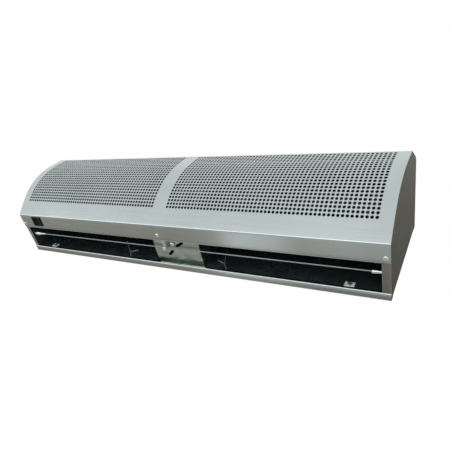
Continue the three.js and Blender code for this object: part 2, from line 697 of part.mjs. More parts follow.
/** The rocker at rest, its left end out, about its pivot; its own group places it. */
function switchRocker() {
  const end = (side) => [-1.5, 0, 3, 5.4].map((out) =>
    [side * Math.sqrt(ROCKER_RADIUS ** 2 - out ** 2) - side * 0.3, -out]);
  const outline = [...end(-1), [0, -3.4], ...end(1).reverse(), [0, 3.5]];
  const shape = new THREE.Shape(outline.map(([x, z]) => new THREE.Vector2(x, z)));
  const geometry = new THREE.ExtrudeGeometry(shape, { depth: ROCKER_WIDTH, bevelEnabled: false });
  geometry.translate(0, 0, -ROCKER_WIDTH / 2).rotateX(Math.PI / 2);
  const rocker = piece('switch_rocker', toSolid(geometry), BLACK_PLASTIC);
  rocker.rotation.y = -ROCKER_TILT;
  rocker.position.set(SWITCH_X, -SWITCH_DEPTH, zOf(ROCKER_PIVOT));
  return rocker;
}

/** The motor's run capacitor, on the front guide. */
function capacitor() {
  const tabs = [-8, 8].map((x) => block([-246 + x - 3, -246 + x + 3], [88, 88.8], [38, 46]));
  return join(block([-270, -222], [76.8, 101], [10, 39]), ...tabs);
}

/** A terminal block with barriers between its screws, on the front guide. */
function terminalBlock() {
  const barriers = [0, 1, 2, 3, 4].map((i) => block([-341 + i * 12, -339 + i * 12], [77.5, 99], [18, 38]));
  return join(block([-342, -290], [76.8, 92], [20, 36]), ...barriers);
}

// ---------------------------------------------------------------------------------------------
// Assembly

const SIDES = [['left', -1], ['right', 1]];

/** One mesh for the left and one for the right of a piece that comes in pairs. */
const pair = (name, make, material) =>
  SIDES.map(([word, side]) => piece(`${name}_${word}`, make(side), material));

function casing() {
  const group = new THREE.Group();
  group.add(
    piece('front_cover', frontCover(), STAINLESS),
    piece('rear_casing', rearCasing(), STAINLESS),
    ...pair('end_cap', endCap, STAINLESS_DARK),
    piece('wall_plate', wallPlate(), GALVANISED),
    piece('cable_grommet', cableGrommet(), RUBBER),
    ...Object.entries(SCREW_POINTS).map(([name, point]) => coverScrew(name, point)),
  );
  return group;
}

function ducts() {
  const group = new THREE.Group();
  group.add(
    ...pair('rear_guide', rearGuide, BLACK_PAINT),
    ...pair('front_guide', frontGuide, BLACK_PAINT),
    ...pair('chamber_end', chamberEnd, BLACK_PAINT),
    ...pair('bulkhead', bulkhead, BLACK_PAINT),
    piece('centre_plate', centrePlate(), STAINLESS),
    plateScrew(),
  );
  return group;
}

/** The motor, wheels and bearings, on the shaft axis. */
function fan() {
  const group = new THREE.Group();
  group.add(
    piece('motor_stator', motorStator(), LAMINATION),
    ...pair('motor_shield', motorShield, ALUMINIUM),
    ...pair('stator_winding', statorWinding, COPPER),
    ...pair('motor_bearing', motorBearing, STEEL),
    ...pair('motor_ring', motorRing, RUBBER),
    piece('rotor_core', rotorCore(), LAMINATION),
    piece('motor_shaft', motorShaft(), STEEL),
    ...pair('fan_wheel', fanWheel, ALUMINIUM),
    ...pair('end_shaft', endShaft, STEEL),
    ...pair('end_bush', endBush, BRONZE),
    ...pair('bush_rubber', bushRubber, RUBBER),
  );
  group.position.set(CENTRE_X, -FAN_DEPTH, zOf(FAN_HEIGHT));
  return group;
}

function motorMount() {
  const group = new THREE.Group();
  group.add(piece('motor_bracket', motorBracket(), GALVANISED), ...pair('motor_clamp', motorClamp, GALVANISED));
  group.position.x = CENTRE_X;
  return group;
}

function outlet() {
  const group = new THREE.Group();
  group.add(
    piece('guard_rod', guardRod(), STEEL),
    ...pair('rod_ferrule', rodFerrule, ZINC),
    piece('rod_bracket', rodBracket(), ZINC),
    piece('rod_nut', rodNut(), ZINC),
    ...pair('duct_stay', ductStay, STEEL),
  );
  for (const [word, side] of SIDES) {
    const clip = new THREE.Group();
    clip.add(piece(`duct_clip_${word}`, ductClip(), ZINC), piece(`clip_bolt_${word}`, clipBolt(), ZINC));
    clip.position.x = side * CLIP_X;
    group.add(clip);
  }
  return group;
}

function electrics() {
  const group = new THREE.Group();
  group.add(
    piece('switch_body', switchBody(), BLACK_PLASTIC),
    switchRocker(),
    piece('capacitor', capacitor(), CAPACITOR_CASE),
    piece('terminal_block', terminalBlock(), NYLON),
  );
  return group;
}

const airCurtain = new THREE.Group();
airCurtain.add(casing(), ducts(), fan(), motorMount(), outlet(), electrics());

export default airCurtain;
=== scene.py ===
"""The looks of a 900 mm stainless steel air curtain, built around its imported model.

Sizes in the classes are millimetres: x runs along the unit, y points into the wall and h is the height above
the underside. Blender's own frame is the model's, in metres, with z = 0 half way up the unit.
"""

import sys
import functools
import logging
import math
from bisect import bisect_left, bisect_right
from dataclasses import dataclass, field
from enum import Enum
from typing import Iterable, Mapping, Sequence

import bmesh
import bpy
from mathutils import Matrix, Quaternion, Vector


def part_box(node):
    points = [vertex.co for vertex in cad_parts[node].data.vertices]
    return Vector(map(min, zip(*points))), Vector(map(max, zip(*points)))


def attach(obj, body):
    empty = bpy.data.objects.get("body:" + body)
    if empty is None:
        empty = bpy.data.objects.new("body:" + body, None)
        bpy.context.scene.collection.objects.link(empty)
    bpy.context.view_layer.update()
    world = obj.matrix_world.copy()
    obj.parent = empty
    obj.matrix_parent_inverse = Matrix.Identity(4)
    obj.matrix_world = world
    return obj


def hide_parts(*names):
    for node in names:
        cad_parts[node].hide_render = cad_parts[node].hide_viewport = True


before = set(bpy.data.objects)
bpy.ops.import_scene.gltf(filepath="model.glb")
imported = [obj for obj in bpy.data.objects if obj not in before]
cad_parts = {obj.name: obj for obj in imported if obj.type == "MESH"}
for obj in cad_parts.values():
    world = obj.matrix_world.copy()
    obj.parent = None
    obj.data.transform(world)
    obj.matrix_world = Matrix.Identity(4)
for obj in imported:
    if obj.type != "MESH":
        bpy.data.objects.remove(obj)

LOG = logging.getLogger("air_curtain")
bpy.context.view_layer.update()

MM = 0.001
HALF_HEIGHT = 117.0
SIDES = (("left", -1), ("right", 1))
BEND_STEPS = 6  # how many faces a round corner of a sheet has
SHARP_ANGLE = math.radians(32)
MOTOR_X = 26.0  # the motor and the tray below it lie to the right of the unit's middle
OVERCUT = 1.0  # how far a cutter reaches past what it cuts
PATTERN_RANGE = (0.3, 0.7)  # where the values of a noise pattern mostly lie
WHITE = "#FFFFFF"

Point = tuple[float, float, float]
Pair = tuple[float, float]
Ring = list[Point]
Tree = bpy.types.NodeTree
Socket = bpy.types.NodeSocket


def to_metres(point: Point) -> Vector:
    """A point (x, y, h) in millimetres as a place in Blender's frame."""
    return Vector((point[0], point[1], point[2] - HALF_HEIGHT)) * MM


def blend(a: float, b: float, share: float) -> float:
    """The number that lies at a share of the way from a to b."""
    return a + (b - a) * share


def put_in_scene(name: str, data: bpy.types.ID) -> bpy.types.Object:
    """A new object in the scene, with that mesh, lamp or camera."""
    thing = bpy.data.objects.new(name, data)
    bpy.context.scene.collection.objects.link(thing)
    return thing


# ---------------------------------------------------------------------------------------------
# Finishes


class Axis(Enum):
    """The way that a grain, a turned piece or a bar runs."""

    X = 0
    Y = 1
    Z = 2


def linear(code: str) -> tuple[float, float, float, float]:
    """Turn an sRGB hex colour to linear.

    Args:
        code: The colour, such as "#B8C2C2".

    Returns:
        Red, green, blue and an alpha of 1.
    """
    levels = [int(code[i:i + 2], 16) / 255 for i in (1, 3, 5)]
    red, green, blue = (v / 12.92 if v <= 0.04045 else ((v + 0.055) / 1.055) ** 2.4 for v in levels)
    return red, green, blue, 1.0


def connect(tree: Tree, node: bpy.types.Node, links: Mapping) -> None:
    """Link output sockets to a node's inputs, which are given by name or number."""
    for name, socket in links.items():
        tree.links.new(socket, node.inputs[name])


def add_node(
    tree: Tree,
    kind: str,
    values: Mapping = {},
    links: Mapping = {},
    **settings: object,
) -> bpy.types.Node:
    """Add a node to a tree.

    Args:
        tree: The node tree.
        kind: The node's type.
        values: Numbers or colours for its inputs, by name or number.
        links: Output sockets for its inputs, by name or number.
        settings: The node's own properties.

    Returns:
        The new node.
    """
    node = tree.nodes.new(kind)
    for name, value in settings.items():
        setattr(node, name, value)
    for name, value in values.items():
        node.inputs[name].default_value = value
    connect(tree, node, links)
    return node


def empty_tree(owner: bpy.types.Material | bpy.types.World) -> Tree:
    """The node tree of a material or world, with nothing in it."""
    owner.use_nodes = True
    owner.node_tree.nodes.clear()
    return owner.node_tree


def pattern(tree: Tree, size: Point, detail: float = 2.0) -> Socket:
    """A soft random pattern fixed to the piece.

    Args:
        tree: The node tree.
        size: How long its features are along x, y and z, in millimetres.
        detail: How many finer layers it has.

    Returns:
        The pattern's value, from 0 to 1.
    """
    own_place = add_node(tree, "ShaderNodeTexCoord").outputs["Object"]
    scaled = add_node(
        tree,
        "ShaderNodeMapping",
        values={"Scale": tuple(1 / (length * MM) for length in size)},
        links={"Vector": own_place},
    )
    noise = add_node(
        tree,
        "ShaderNodeTexNoise",
        values={"Scale": 1.0, "Detail": detail, "Roughness": 0.55},
        links={"Vector": scaled.outputs["Vector"]},
    )
    return noise.outputs["Fac"]


def between(tree: Tree, share: Socket, low: float, high: float) -> Socket:
    """Spread a pattern between two values."""
    start, end = PATTERN_RANGE
    spread = add_node(
        tree,
        "ShaderNodeMapRange",
        values={"From Min": start, "From Max": end, "To Min": low, "To Max": high},
        links={"Value": share},
    )
    return spread.outputs["Result"]


def tinted(tree: Tree, share: Socket, low: str, high: str) -> Socket:
    """Spread a pattern between two sRGB hex colours."""
    level = between(tree, share, 0.0, 1.0)
    # A Mix node's colour sockets are its inputs 6 and 7 and its output 2.
    ends = {6: linear(low), 7: linear(high)}
    mix = add_node(tree, "ShaderNodeMix", values=ends, links={0: level}, data_type="RGBA")
    return mix.outputs[2]


def bump(tree: Tree, height: Socket, depth: float) -> Socket:
    """A normal that follows a pattern with a relief of that depth in millimetres."""
    relief = add_node(
        tree,
        "ShaderNodeBump",
        values={"Strength": 1.0, "Distance": depth * MM},
        links={"Height": height},
    )
    return relief.outputs["Normal"]


@dataclass(frozen=True)
class Finish:
    """What every finish has: its name, the record's slot, its two tones and the shader's values."""

    name: str
    slot: str
    dark: str
    light: str
    roughness: float
    metallic: float = 0.0
    ior: float | None = None
    spread: float = 0.05  # how far the roughness strays to either side

    def tone(self, tree: Tree, share: Socket) -> Socket:
        """A pattern as a colour, from the finish's dark tone to its light one."""
        return tinted(tree, share, self.dark, self.light)

    def gloss(self, tree: Tree, share: Socket) -> Socket:
        """A pattern as an uneven roughness."""
        return between(tree, share, self.roughness - self.spread, self.roughness + self.spread)

    def colour_and_relief(self, tree: Tree, shader: bpy.types.Node) -> None:
        """Link the finish's patterns to the shader."""
        raise NotImplementedError


@dataclass(frozen=True)
class LinedMetal(Finish):
    """Metal with fine lines along one axis, from brushing, drawing or rolling, or from stacked plates.

    The lines draw reflections out across themselves, and show as fine pale and dark streaks.
    """

    metallic: float = 1.0
    spread: float = 0.03
    grain: Axis = Axis.X
    line_length: float = 120.0
    line_width: float = 1.8  # real lines are under 0.2 mm; drawn coarser so that they show
    line_share: float = 0.35  # how much the lines show beside the clouds
    cloud: float = 150.0
    relief: float = 0.004
    stretch: float = 0.8

    def colour_and_relief(self, tree: Tree, shader: bpy.types.Node) -> None:
        """Link the lines, the soft clouds and the way of the grain."""
        size = [self.line_width] * 3
        size[self.grain.value] = self.line_length
        lines = pattern(tree, tuple(size), detail=3.0)
        clouds = pattern(tree, (self.cloud,) * 3)
        both = add_node(
            tree,
            "ShaderNodeMath",
            values={1: self.line_share},
            links={0: lines, 2: clouds},
            operation="MULTIPLY_ADD",
        )
        level = add_node(
            tree,
            "ShaderNodeMath",
            values={1: 1 + self.line_share},
            links={0: both.outputs["Value"]},
            operation="DIVIDE",
        )
        connect(tree, shader, {
            "Base Color": self.tone(tree, level.outputs["Value"]),
            "Roughness": self.gloss(tree, lines),
            "Normal": bump(tree, lines, self.relief),
        })
        around = add_node(tree, "ShaderNodeTangent", direction_type="RADIAL", axis=self.grain.name)
        connect(tree, shader, {"Tangent": around.outputs["Tangent"]})
        shader.inputs["Anisotropic"].default_value = self.stretch


@dataclass(frozen=True)
class Coated(Finish):
    """Paint, plating, plastic or rubber: a mottled colour, an uneven gloss and a fine relief."""

    mottle: float = 20.0
    relief_size: float = 2.5
    relief: float = 0.01
    specular: float = 0.5

    def colour_and_relief(self, tree: Tree, shader: bpy.types.Node) -> None:
        """Link the mottling, the uneven gloss and the relief."""
        clouds = pattern(tree, (self.mottle,) * 3, detail=4.0)
        connect(tree, shader, {
            "Base Color": self.tone(tree, clouds),
            "Roughness": self.gloss(tree, clouds),
            "Normal": bump(tree, pattern(tree, (self.relief_size,) * 3, detail=3.0), self.relief),
        })
        shader.inputs["Specular IOR Level"].default_value = self.specular


@dataclass(frozen=True)
class Spangled(Finish):
    """Hot dip galvanised sheet: flat crystals of zinc, each with its own tone and gloss."""

    metallic: float = 1.0
    crystal: float = 9.0
    spread: float = 0.08

    def colour_and_relief(self, tree: Tree, shader: bpy.types.Node) -> None:
        """Link one tone and one gloss to each crystal."""
        scale = {"Scale": 1 / (self.crystal * MM)}
        own_place = add_node(tree, "ShaderNodeTexCoord").outputs["Object"]
        cells = add_node(tree, "ShaderNodeTexVoronoi", values=scale, links={"Vector": own_place})
        parts = add_node(tree, "ShaderNodeSeparateColor", links={0: cells.outputs["Color"]})
        connect(tree, shader, {
            "Base Color": self.tone(tree, parts.outputs[0]),
            "Roughness": self.gloss(tree, parts.outputs[1]),
        })


# The casing: thin 304 stainless with a fine belt-brushed face, bright and slightly blue.
COVER_STEEL = LinedMetal(
    "belt_brushed_stainless_304", slot="stainless_cover", dark="#B1BBBB", light="#BEC8C8", roughness=0.13
)
# The cover's inner face and the walls of its punched holes: painted shade, a near black coat so that the
# holes read as dark as the shade inside the unit.
DAMPING_LACQUER = Coated(
    "inner_face_painted_shade",
    slot="stainless_cover",
    dark="#050607",
    light="#0B0C0D",
    roughness=0.6,
    ior=1.5,
    relief_size=1.5,
    relief=0.02,
    specular=0.2,
)
# The end pans: stainless with a duller face, painted darker and browner than the casing; this tone is painted
# shade, for the darker surroundings that they mirror.
END_STEEL = LinedMetal(
    "end_stainless_painted_shade",
    slot="stainless_end",
    dark="#86857E",
    light="#94938B",
    roughness=0.3,
    grain=Axis.Z,
    cloud=70.0,
)
# The tray over the outlet: a pickled mill face, grey and silky, which blurs what it mirrors, with hand marks.
TRAY_STEEL = LinedMetal(
    "pickled_stainless_2b",
    slot="stainless_end",
    dark="#A3ADA5",
    light="#BDC6BD",
    roughness=0.4,
    cloud=18.0,
    stretch=0.0,
)
# Drawn steel bar, bright and even, with drawing lines along its length.
DRAWN_STEEL = LinedMetal(
    "drawn_bright_steel", slot="steel_rod", dark="#7E8486", light="#979D9F", roughness=0.25, line_width=0.8
)
# Stoved black gloss paint: a wet look with a faint orange peel, its tone lifted from near black to a dark
# teal grey as painted light for the shade inside the outlet.
BLACK_PAINT = Coated(
    "black_gloss_paint_and_painted_light",
    slot="black_sheet",
    dark="#232C2E",
    light="#303B3D",
    roughness=0.26,
    ior=1.5,
    mottle=35.0,
    relief_size=4.0,
    relief=0.03,
)
# Zinc plate with a clear passivation: bright and slightly cloudy.
BRIGHT_ZINC = Coated(
    "bright_zinc_plate",
    slot="bright_zinc",
    dark="#BCC4C5",
    light="#D6DDDD",
    roughness=0.22,
    metallic=1.0,
    mottle=5.0,
    relief_size=1.2,
)
# The stays: galvanised wire that has gone dull, pale and without shine.
DULL_WIRE = Coated(
    "weathered_galvanised_wire",
    slot="steel_rod",
    dark="#9AA2A4",
    light="#B4BBBC",
    roughness=0.55,
    metallic=0.35,
    mottle=4.0,
    relief_size=0.6,
)
# The clips: zinc, painted near white and matt without its shine; this is painted light, for the bright front
# light on them.
PALE_ZINC = Coated(
    "clip_zinc_painted_light",
    slot="bright_zinc",
    dark="#E2E7E5",
    light="#F4F7F5",
    roughness=0.4,
    ior=1.5,
    mottle=4.0,
    relief_size=1.0,
)
# The heads of the small bolts: zinc, painted darker than the clips as painted shade.
DULL_ZINC = Coated(
    "bolt_zinc_painted_shade",
    slot="bright_zinc",
    dark="#7F8788",
    light="#9CA3A4",
    roughness=0.35,
    metallic=1.0,
    mottle=3.0,
    relief_size=0.8,
    relief=0.02,
)
# Galvanised steel strip: grey with flat crystals.
GALVANISED = Spangled(
    "hot_dip_galvanised_steel", slot="galvanised_sheet", dark="#8E9496", light="#AEB4B6", roughness=0.42
)
# The wheels: aluminium, painted near black as shade, so that little shows behind the holes.
WHEEL_PAINT = Coated(
    "wheel_aluminium_painted_shade", slot="aluminium_wheel", dark="#0E1011", light="#191C1D", roughness=0.45, ior=1.5
)
# The motor's end shields: die cast aluminium, grey and grainy.
CAST_ALUMINIUM = Coated(
    "die_cast_aluminium",
    slot="motor_aluminium",
    dark="#6E7274",
    light="#8B8F91",
    roughness=0.5,
    metallic=1.0,
    relief_size=0.8,
    relief=0.03,
)
# The stator and rotor: stacked sheets under a dark varnish.
VARNISHED_STACK = LinedMetal(
    "varnished_core_plates",
    slot="lamination",
    dark="#3B3A38",
    light="#55524E",
    roughness=0.5,
    grain=Axis.Z,
    line_width=0.7,
)
# The windings: enamelled copper under varnish.
ENAMELLED_COPPER = Coated(
    "enamelled_copper_wire",
    slot="winding",
    dark="#6E3416",
    light="#A45A2C",
    roughness=0.32,
    metallic=0.9,
    mottle=3.0,
    relief_size=0.9,
    relief=0.15,
)
# The bearings: oil-soaked sintered bronze, dull and brown.
SINTERED_BRONZE = Coated(
    "sintered_bronze",
    slot="bronze",
    dark="#73552C",
    light="#94713F",
    roughness=0.5,
    metallic=1.0,
    mottle=4.0,
    relief_size=0.5,
    relief=0.02,
)
# The mounts: moulded nitrile rubber, matt black with a bloom.
MOULDED_RUBBER = Coated(
    "moulded_nitrile_rubber", slot="black_rubber", dark="#161616", light="#232322", roughness=0.72, ior=1.52
)
# The switch: moulded nylon with a satin spark-eroded face.
SWITCH_NYLON = Coated(
    "satin_black_nylon",
    slot="black_switch",
    dark="#0C1318",
    light="#182026",
    roughness=0.3,
    ior=1.53,
    mottle=6.0,
    relief_size=0.5,
    specular=0.04,
)
# The capacitor: a moulded polypropylene case, dark grey.
MOULDED_POLYPROPYLENE = Coated(
    "moulded_polypropylene", slot="capacitor_case", dark="#26282C", light="#303338", roughness=0.48, ior=1.49
)
# The terminal block: natural nylon, off-white.
NATURAL_NYLON = Coated(
    "natural_nylon", slot="nylon", dark="#CDCABF", light="#DEDCD3", roughness=0.5, ior=1.53, mottle=12.0
)


@functools.lru_cache(maxsize=None)
def material_of(finish: Finish) -> bpy.types.Material:
    """Make a finish's material once.

    Args:
        finish: The finish.

    Returns:
        Its material.
    """
    material = bpy.data.materials.new(finish.name)
    material.use_nodes = True
    tree = material.node_tree
    shader = next(node for node in tree.nodes if node.type == "BSDF_PRINCIPLED")
    shader.inputs["Metallic"].default_value = finish.metallic
    if finish.ior:
        shader.inputs["IOR"].default_value = finish.ior
    finish.colour_and_relief(tree, shader)
    return material


# ---------------------------------------------------------------------------------------------
# Forms


class Form:
    """The points and faces of one piece, in millimetres."""

    def __init__(self) -> None:
        """Start with nothing."""
        self.points: list[Point] = []
        self.faces: list[tuple[int, ...]] = []

    def add(self, points: Iterable[Point], faces: Iterable[Sequence[int]]) -> "Form":
        """Add points and the faces between them.

        Args:
            points: The new points.
            faces: Faces as numbers of the new points.

        Returns:
            The form.
        """
        start = len(self.points)
        self.points.extend(points)
        self.faces.extend(tuple(start + i for i in face) for face in faces)
        return self

    def loft(self, rings: Sequence[Ring], closed: bool = False) -> "Form":
        """Join rings of points into a skin.

        Args:
            rings: Rings with the same number of points; a ring of one point is a tip.
            closed: Whether the last ring joins the first; if not, the ends are capped.

        Returns:
            The form.
        """
        starts = [sum(len(ring) for ring in rings[:i]) for i in range(len(rings))]
        faces: list[tuple[int, ...]] = []
        pairs = list(zip(range(len(rings)), range(1, len(rings))))
        if closed:
            pairs.append((len(rings) - 1, 0))
        for a, b in pairs:
            count = max(len(rings[a]), len(rings[b]))
            for k in range(count):
                after = (k + 1) % count
                quad = [starts[a] + k % len(rings[a]), starts[a] + after % len(rings[a])]
                quad += [starts[b] + after % len(rings[b]), starts[b] + k % len(rings[b])]
                faces.append(tuple(dict.fromkeys(quad)))
        if not closed:
            for end in (0, len(rings) - 1):
                if len(rings[end]) > 2:
                    faces.append(tuple(range(starts[end], starts[end] + len(rings[end]))))
        return self.add([point for ring in rings for point in ring], faces)

    def box(self, low: Point, high: Point) -> "Form":
        """Add a box between two corners."""
        xs, ys, hs = zip(low, high)
        rings = [[(x, ys[0], hs[0]), (x, ys[1], hs[0]), (x, ys[1], hs[1]), (x, ys[0], hs[1])] for x in xs]
        return self.loft(rings)

    def prism(self, outline: Sequence[Pair], xa: float, xb: float) -> "Form":
        """Add a prism along x with an outline of (y, h) points."""
        return self.loft([[(x, y, h) for y, h in outline] for x in (xa, xb)])

    def turned(self, profile: Sequence[Pair], centre: Point, axis: Axis, sides: int = 32) -> "Form":
        """Add a turned piece.

        Args:
            profile: (radius, place along the axis) points; it closes on itself unless it ends on the axis.
            centre: Where the profile's zero is.
            axis: The axis that it is turned about.
            sides: How many sides it has.

        Returns:
            The form.
        """
        across = [i for i in range(3) if i != axis.value]
        rings = []
        for radius, along in profile:
            ring = []
            for k in range(sides if radius > 0 else 1):
                angle = 2 * math.pi * k / sides
                point = list(centre)
                point[axis.value] += along
                point[across[0]] += radius * math.cos(angle)
                point[across[1]] += radius * math.sin(angle)
                ring.append(tuple(point))
            rings.append(ring)
        return self.loft(rings, closed=profile[0][0] > 0)

    def wire(self, path: Sequence[Point], radius: float, sides: int = 10) -> "Form":
        """Add a round bar along a path.

        Args:
            path: The points that its centre follows.
            radius: Its radius.
            sides: How many sides it has.

        Returns:
            The form.
        """
        spine = [Vector(point) for point in path]
        side = Vector((0.31, 0.52, 0.79))  # any way that the path doesn't follow
        rings = []
        for i, centre in enumerate(spine):
            ahead = (spine[min(i + 1, len(spine) - 1)] - spine[max(i - 1, 0)]).normalized()
            side = (side - ahead * side.dot(ahead)).normalized()
            other = ahead.cross(side)
            ring = []
            for k in range(sides):
                angle = 2 * math.pi * k / sides
                ring.append(tuple(centre + (side * math.cos(angle) + other * math.sin(angle)) * radius))
            rings.append(ring)
        return self.loft(rings)

    def mesh(self, name: str, orient: bool = True) -> bpy.types.Mesh:
        """Make the mesh.

        Args:
            name: The mesh's name.
            orient: Whether Blender is to turn every face outwards.

        Returns:
            The mesh, in metres.
        """
        mesh = bpy.data.meshes.new(name)
        mesh.from_pydata([to_metres(point) for point in self.points], [], self.faces)
        if orient:
            work = bmesh.new()
            work.from_mesh(mesh)
            bmesh.ops.recalc_face_normals(work, faces=work.faces)
            work.to_mesh(mesh)
            work.free()
        mesh.update()
        return mesh


@dataclass(frozen=True)
class Station:
    """A place on the outer face of a bent sheet, seen from the end, and the way that this face looks."""

    y: float
    h: float
    out_y: float
    out_h: float

    def towards(self, other: "Station", share: float) -> "Station":
        """The place at a share of the way to another station, with the normal of the line between them."""
        length = math.hypot(other.y - self.y, other.h - self.h)
        out = (-(other.h - self.h) / length, (other.y - self.y) / length)
        return Station(blend(self.y, other.y, share), blend(self.h, other.h, share), *out)

    def inside(self, thickness: float) -> Pair:
        """The point under this place at a depth."""
        return self.y - self.out_y * thickness, self.h - self.out_h * thickness


@dataclass(frozen=True)
class Bend:
    """A corner of a sheet's run and the radius of its outer face there."""

    y: float
    h: float
    radius: float = 0.0


def bent_run(bends: Sequence[Bend]) -> list[Station]:
    """Follow a bent sheet whose outer face is on the left of the way it runs.

    Args:
        bends: The corners that the flats of its outer face would make.

    Returns:
        One station for each end and flat point, and BEND_STEPS + 1 for each round corner.
    """
    stations = []
    last = len(bends) - 1
    for i, bend in enumerate(bends):
        start, middle, end = bends[max(i - 1, 0)], bend, bends[min(i + 1, last)]
        angles = []
        for a, b in ((start, middle), (middle, end)):
            if (a.y, a.h) != (b.y, b.h):
                angles.append(math.atan2(b.h - a.h, b.y - a.y))
        before, after = angles[0], angles[-1]
        turn = (after - before + math.pi) % (2 * math.pi) - math.pi
        if bend.radius == 0:
            heading = before + turn / 2
            stations.append(Station(bend.y, bend.h, -math.sin(heading), math.cos(heading)))
            continue
        reach = bend.radius * math.tan(abs(turn) / 2)
        radius = bend.radius if turn < 0 else -bend.radius
        centre_y = bend.y - reach * math.cos(before) + radius * math.sin(before)
        centre_h = bend.h - reach * math.sin(before) - radius * math.cos(before)
        for step in range(BEND_STEPS + 1):
            heading = before + turn * step / BEND_STEPS
            out_y, out_h = -math.sin(heading), math.cos(heading)
            stations.append(Station(centre_y + radius * out_y, centre_h + radius * out_h, out_y, out_h))
    return stations


@dataclass(frozen=True)
class Hole:
    """A round hole in a row of a sheet: its place along x, its distance from the row's start and its size."""

    x: float
    along: float
    radius: float
    sides: int = 16


@dataclass(frozen=True)
class Row:
    """The part of a sheet between two stations: its divisions along x, what is left out and its holes."""

    xs: tuple[float, ...]
    missing: tuple[float, ...] = ()
    holes: tuple[Hole, ...] = ()


class PunchedSheet:
    """A bent sheet of even thickness with rectangular openings and round holes."""

    def __init__(self, stations: Sequence[Station], rows: Sequence[Row], thickness: float) -> None:
        """Lay out the sheet.

        Args:
            stations: The places that its outer face passes through.
            rows: One row for each gap between stations.
            thickness: The sheet's thickness.
        """
        self.stations = stations
        self.rows = rows
        self.thickness = thickness
        self.outer: list[Point] = []
        self.inner: list[Point] = []
        self.skin: list[tuple[int, ...]] = []
        self.punched: set[int] = set()
        self.outside = 0  # how many of the form's faces are of its outer face and its edges
        self.lines: list[list[float]] = []
        self.numbers: list[list[int]] = []

    def point(self, x: float, station: Station) -> int:
        """Add a point of the outer face and the one below it, and return their number."""
        self.outer.append((x, station.y, station.h))
        self.inner.append((x, *station.inside(self.thickness)))
        return len(self.outer) - 1

    def lay_lines(self) -> None:
        """Add the points on each station's line, where the rows on both sides are divided."""
        for j, station in enumerate(self.stations):
            xs = set()
            for row in self.rows[max(j - 1, 0):j + 1]:
                xs.update(row.xs)
            self.lines.append(sorted(xs))
            self.numbers.append([self.point(x, station) for x in self.lines[j]])

    def along_line(self, j: int, xa: float, xb: float) -> list[int]:
        """The numbers of the points on a line from xa to xb."""
        line = self.lines[j]
        return self.numbers[j][bisect_left(line, xa):bisect_right(line, xb)]

    def punch(self, j: int, xa: float, xb: float, hole: Hole) -> None:
        """Add the four faces around a round hole."""
        low, high = self.stations[j], self.stations[j + 1]
        length = math.hypot(high.y - low.y, high.h - low.h)
        ring = []
        for k in range(hole.sides):
            angle = math.radians(225) + 2 * math.pi * k / hole.sides
            share = (hole.along + hole.radius * math.sin(angle)) / length
            ring.append(self.point(hole.x + hole.radius * math.cos(angle), low.towards(high, share)))
        self.punched.update(ring)
        below = self.along_line(j, xa, xb)
        above = self.along_line(j + 1, xa, xb)[::-1]
        borders = [below, [below[-1], above[0]], above, [above[-1], below[0]]]
        quarter = hole.sides // 4
        for side, border in enumerate(borders):
            arc = [ring[k % hole.sides] for k in range(side * quarter, (side + 1) * quarter + 1)]
            self.skin.append(tuple(border + arc[::-1]))

    def form(self) -> Form:
        """Build the sheet.

        Returns:
            A closed form: first its outer face and its edges, then its inner face and the walls of its holes.
        """
        self.lay_lines()
        for j, row in enumerate(self.rows):
            holes = {bisect_right(row.xs, hole.x) - 1: hole for hole in row.holes}
            for i, (xa, xb) in enumerate(zip(row.xs, row.xs[1:])):
                if xa in row.missing:
                    continue
                if i in holes:
                    self.punch(j, xa, xb, holes[i])
                    continue
                self.skin.append(tuple(self.along_line(j, xa, xb) + self.along_line(j + 1, xa, xb)[::-1]))
        count = len(self.outer)
        edges = {(a, b) for face in self.skin for a, b in zip(face, face[1:] + face[:1])}
        outside = list(self.skin)
        inside = [tuple(i + count for i in reversed(face)) for face in self.skin]
        for a, b in edges:
            if (b, a) in edges:
                continue
            part = inside if a in self.punched and b in self.punched else outside
            part.append((b, a, a + count, b + count))
        self.outside = len(outside)
        return Form().add(self.outer + self.inner, sorted(outside) + sorted(inside))


def combined(base: bpy.types.Mesh, tools: Sequence[bpy.types.Mesh], how: str) -> bpy.types.Mesh:
    """Cut or join meshes.

    Args:
        base: The first mesh.
        tools: The meshes that cut it or join it.
        how: DIFFERENCE or UNION.

    Returns:
        The new mesh.
    """
    piece = put_in_scene("work", base)
    helpers = []
    for tool in tools:
        helper = put_in_scene("tool", tool)
        helpers.append(helper)
        step = piece.modifiers.new("step", "BOOLEAN")
        step.operation = how
        step.solver = "EXACT"
        step.object = helper
    bpy.context.view_layer.update()
    shown = piece.evaluated_get(bpy.context.evaluated_depsgraph_get())
    result = bpy.data.meshes.new_from_object(shown)
    for helper in (piece, *helpers):
        bpy.data.objects.remove(helper)
    return result


# ---------------------------------------------------------------------------------------------
# The bench: where pieces are finished and put into the frame


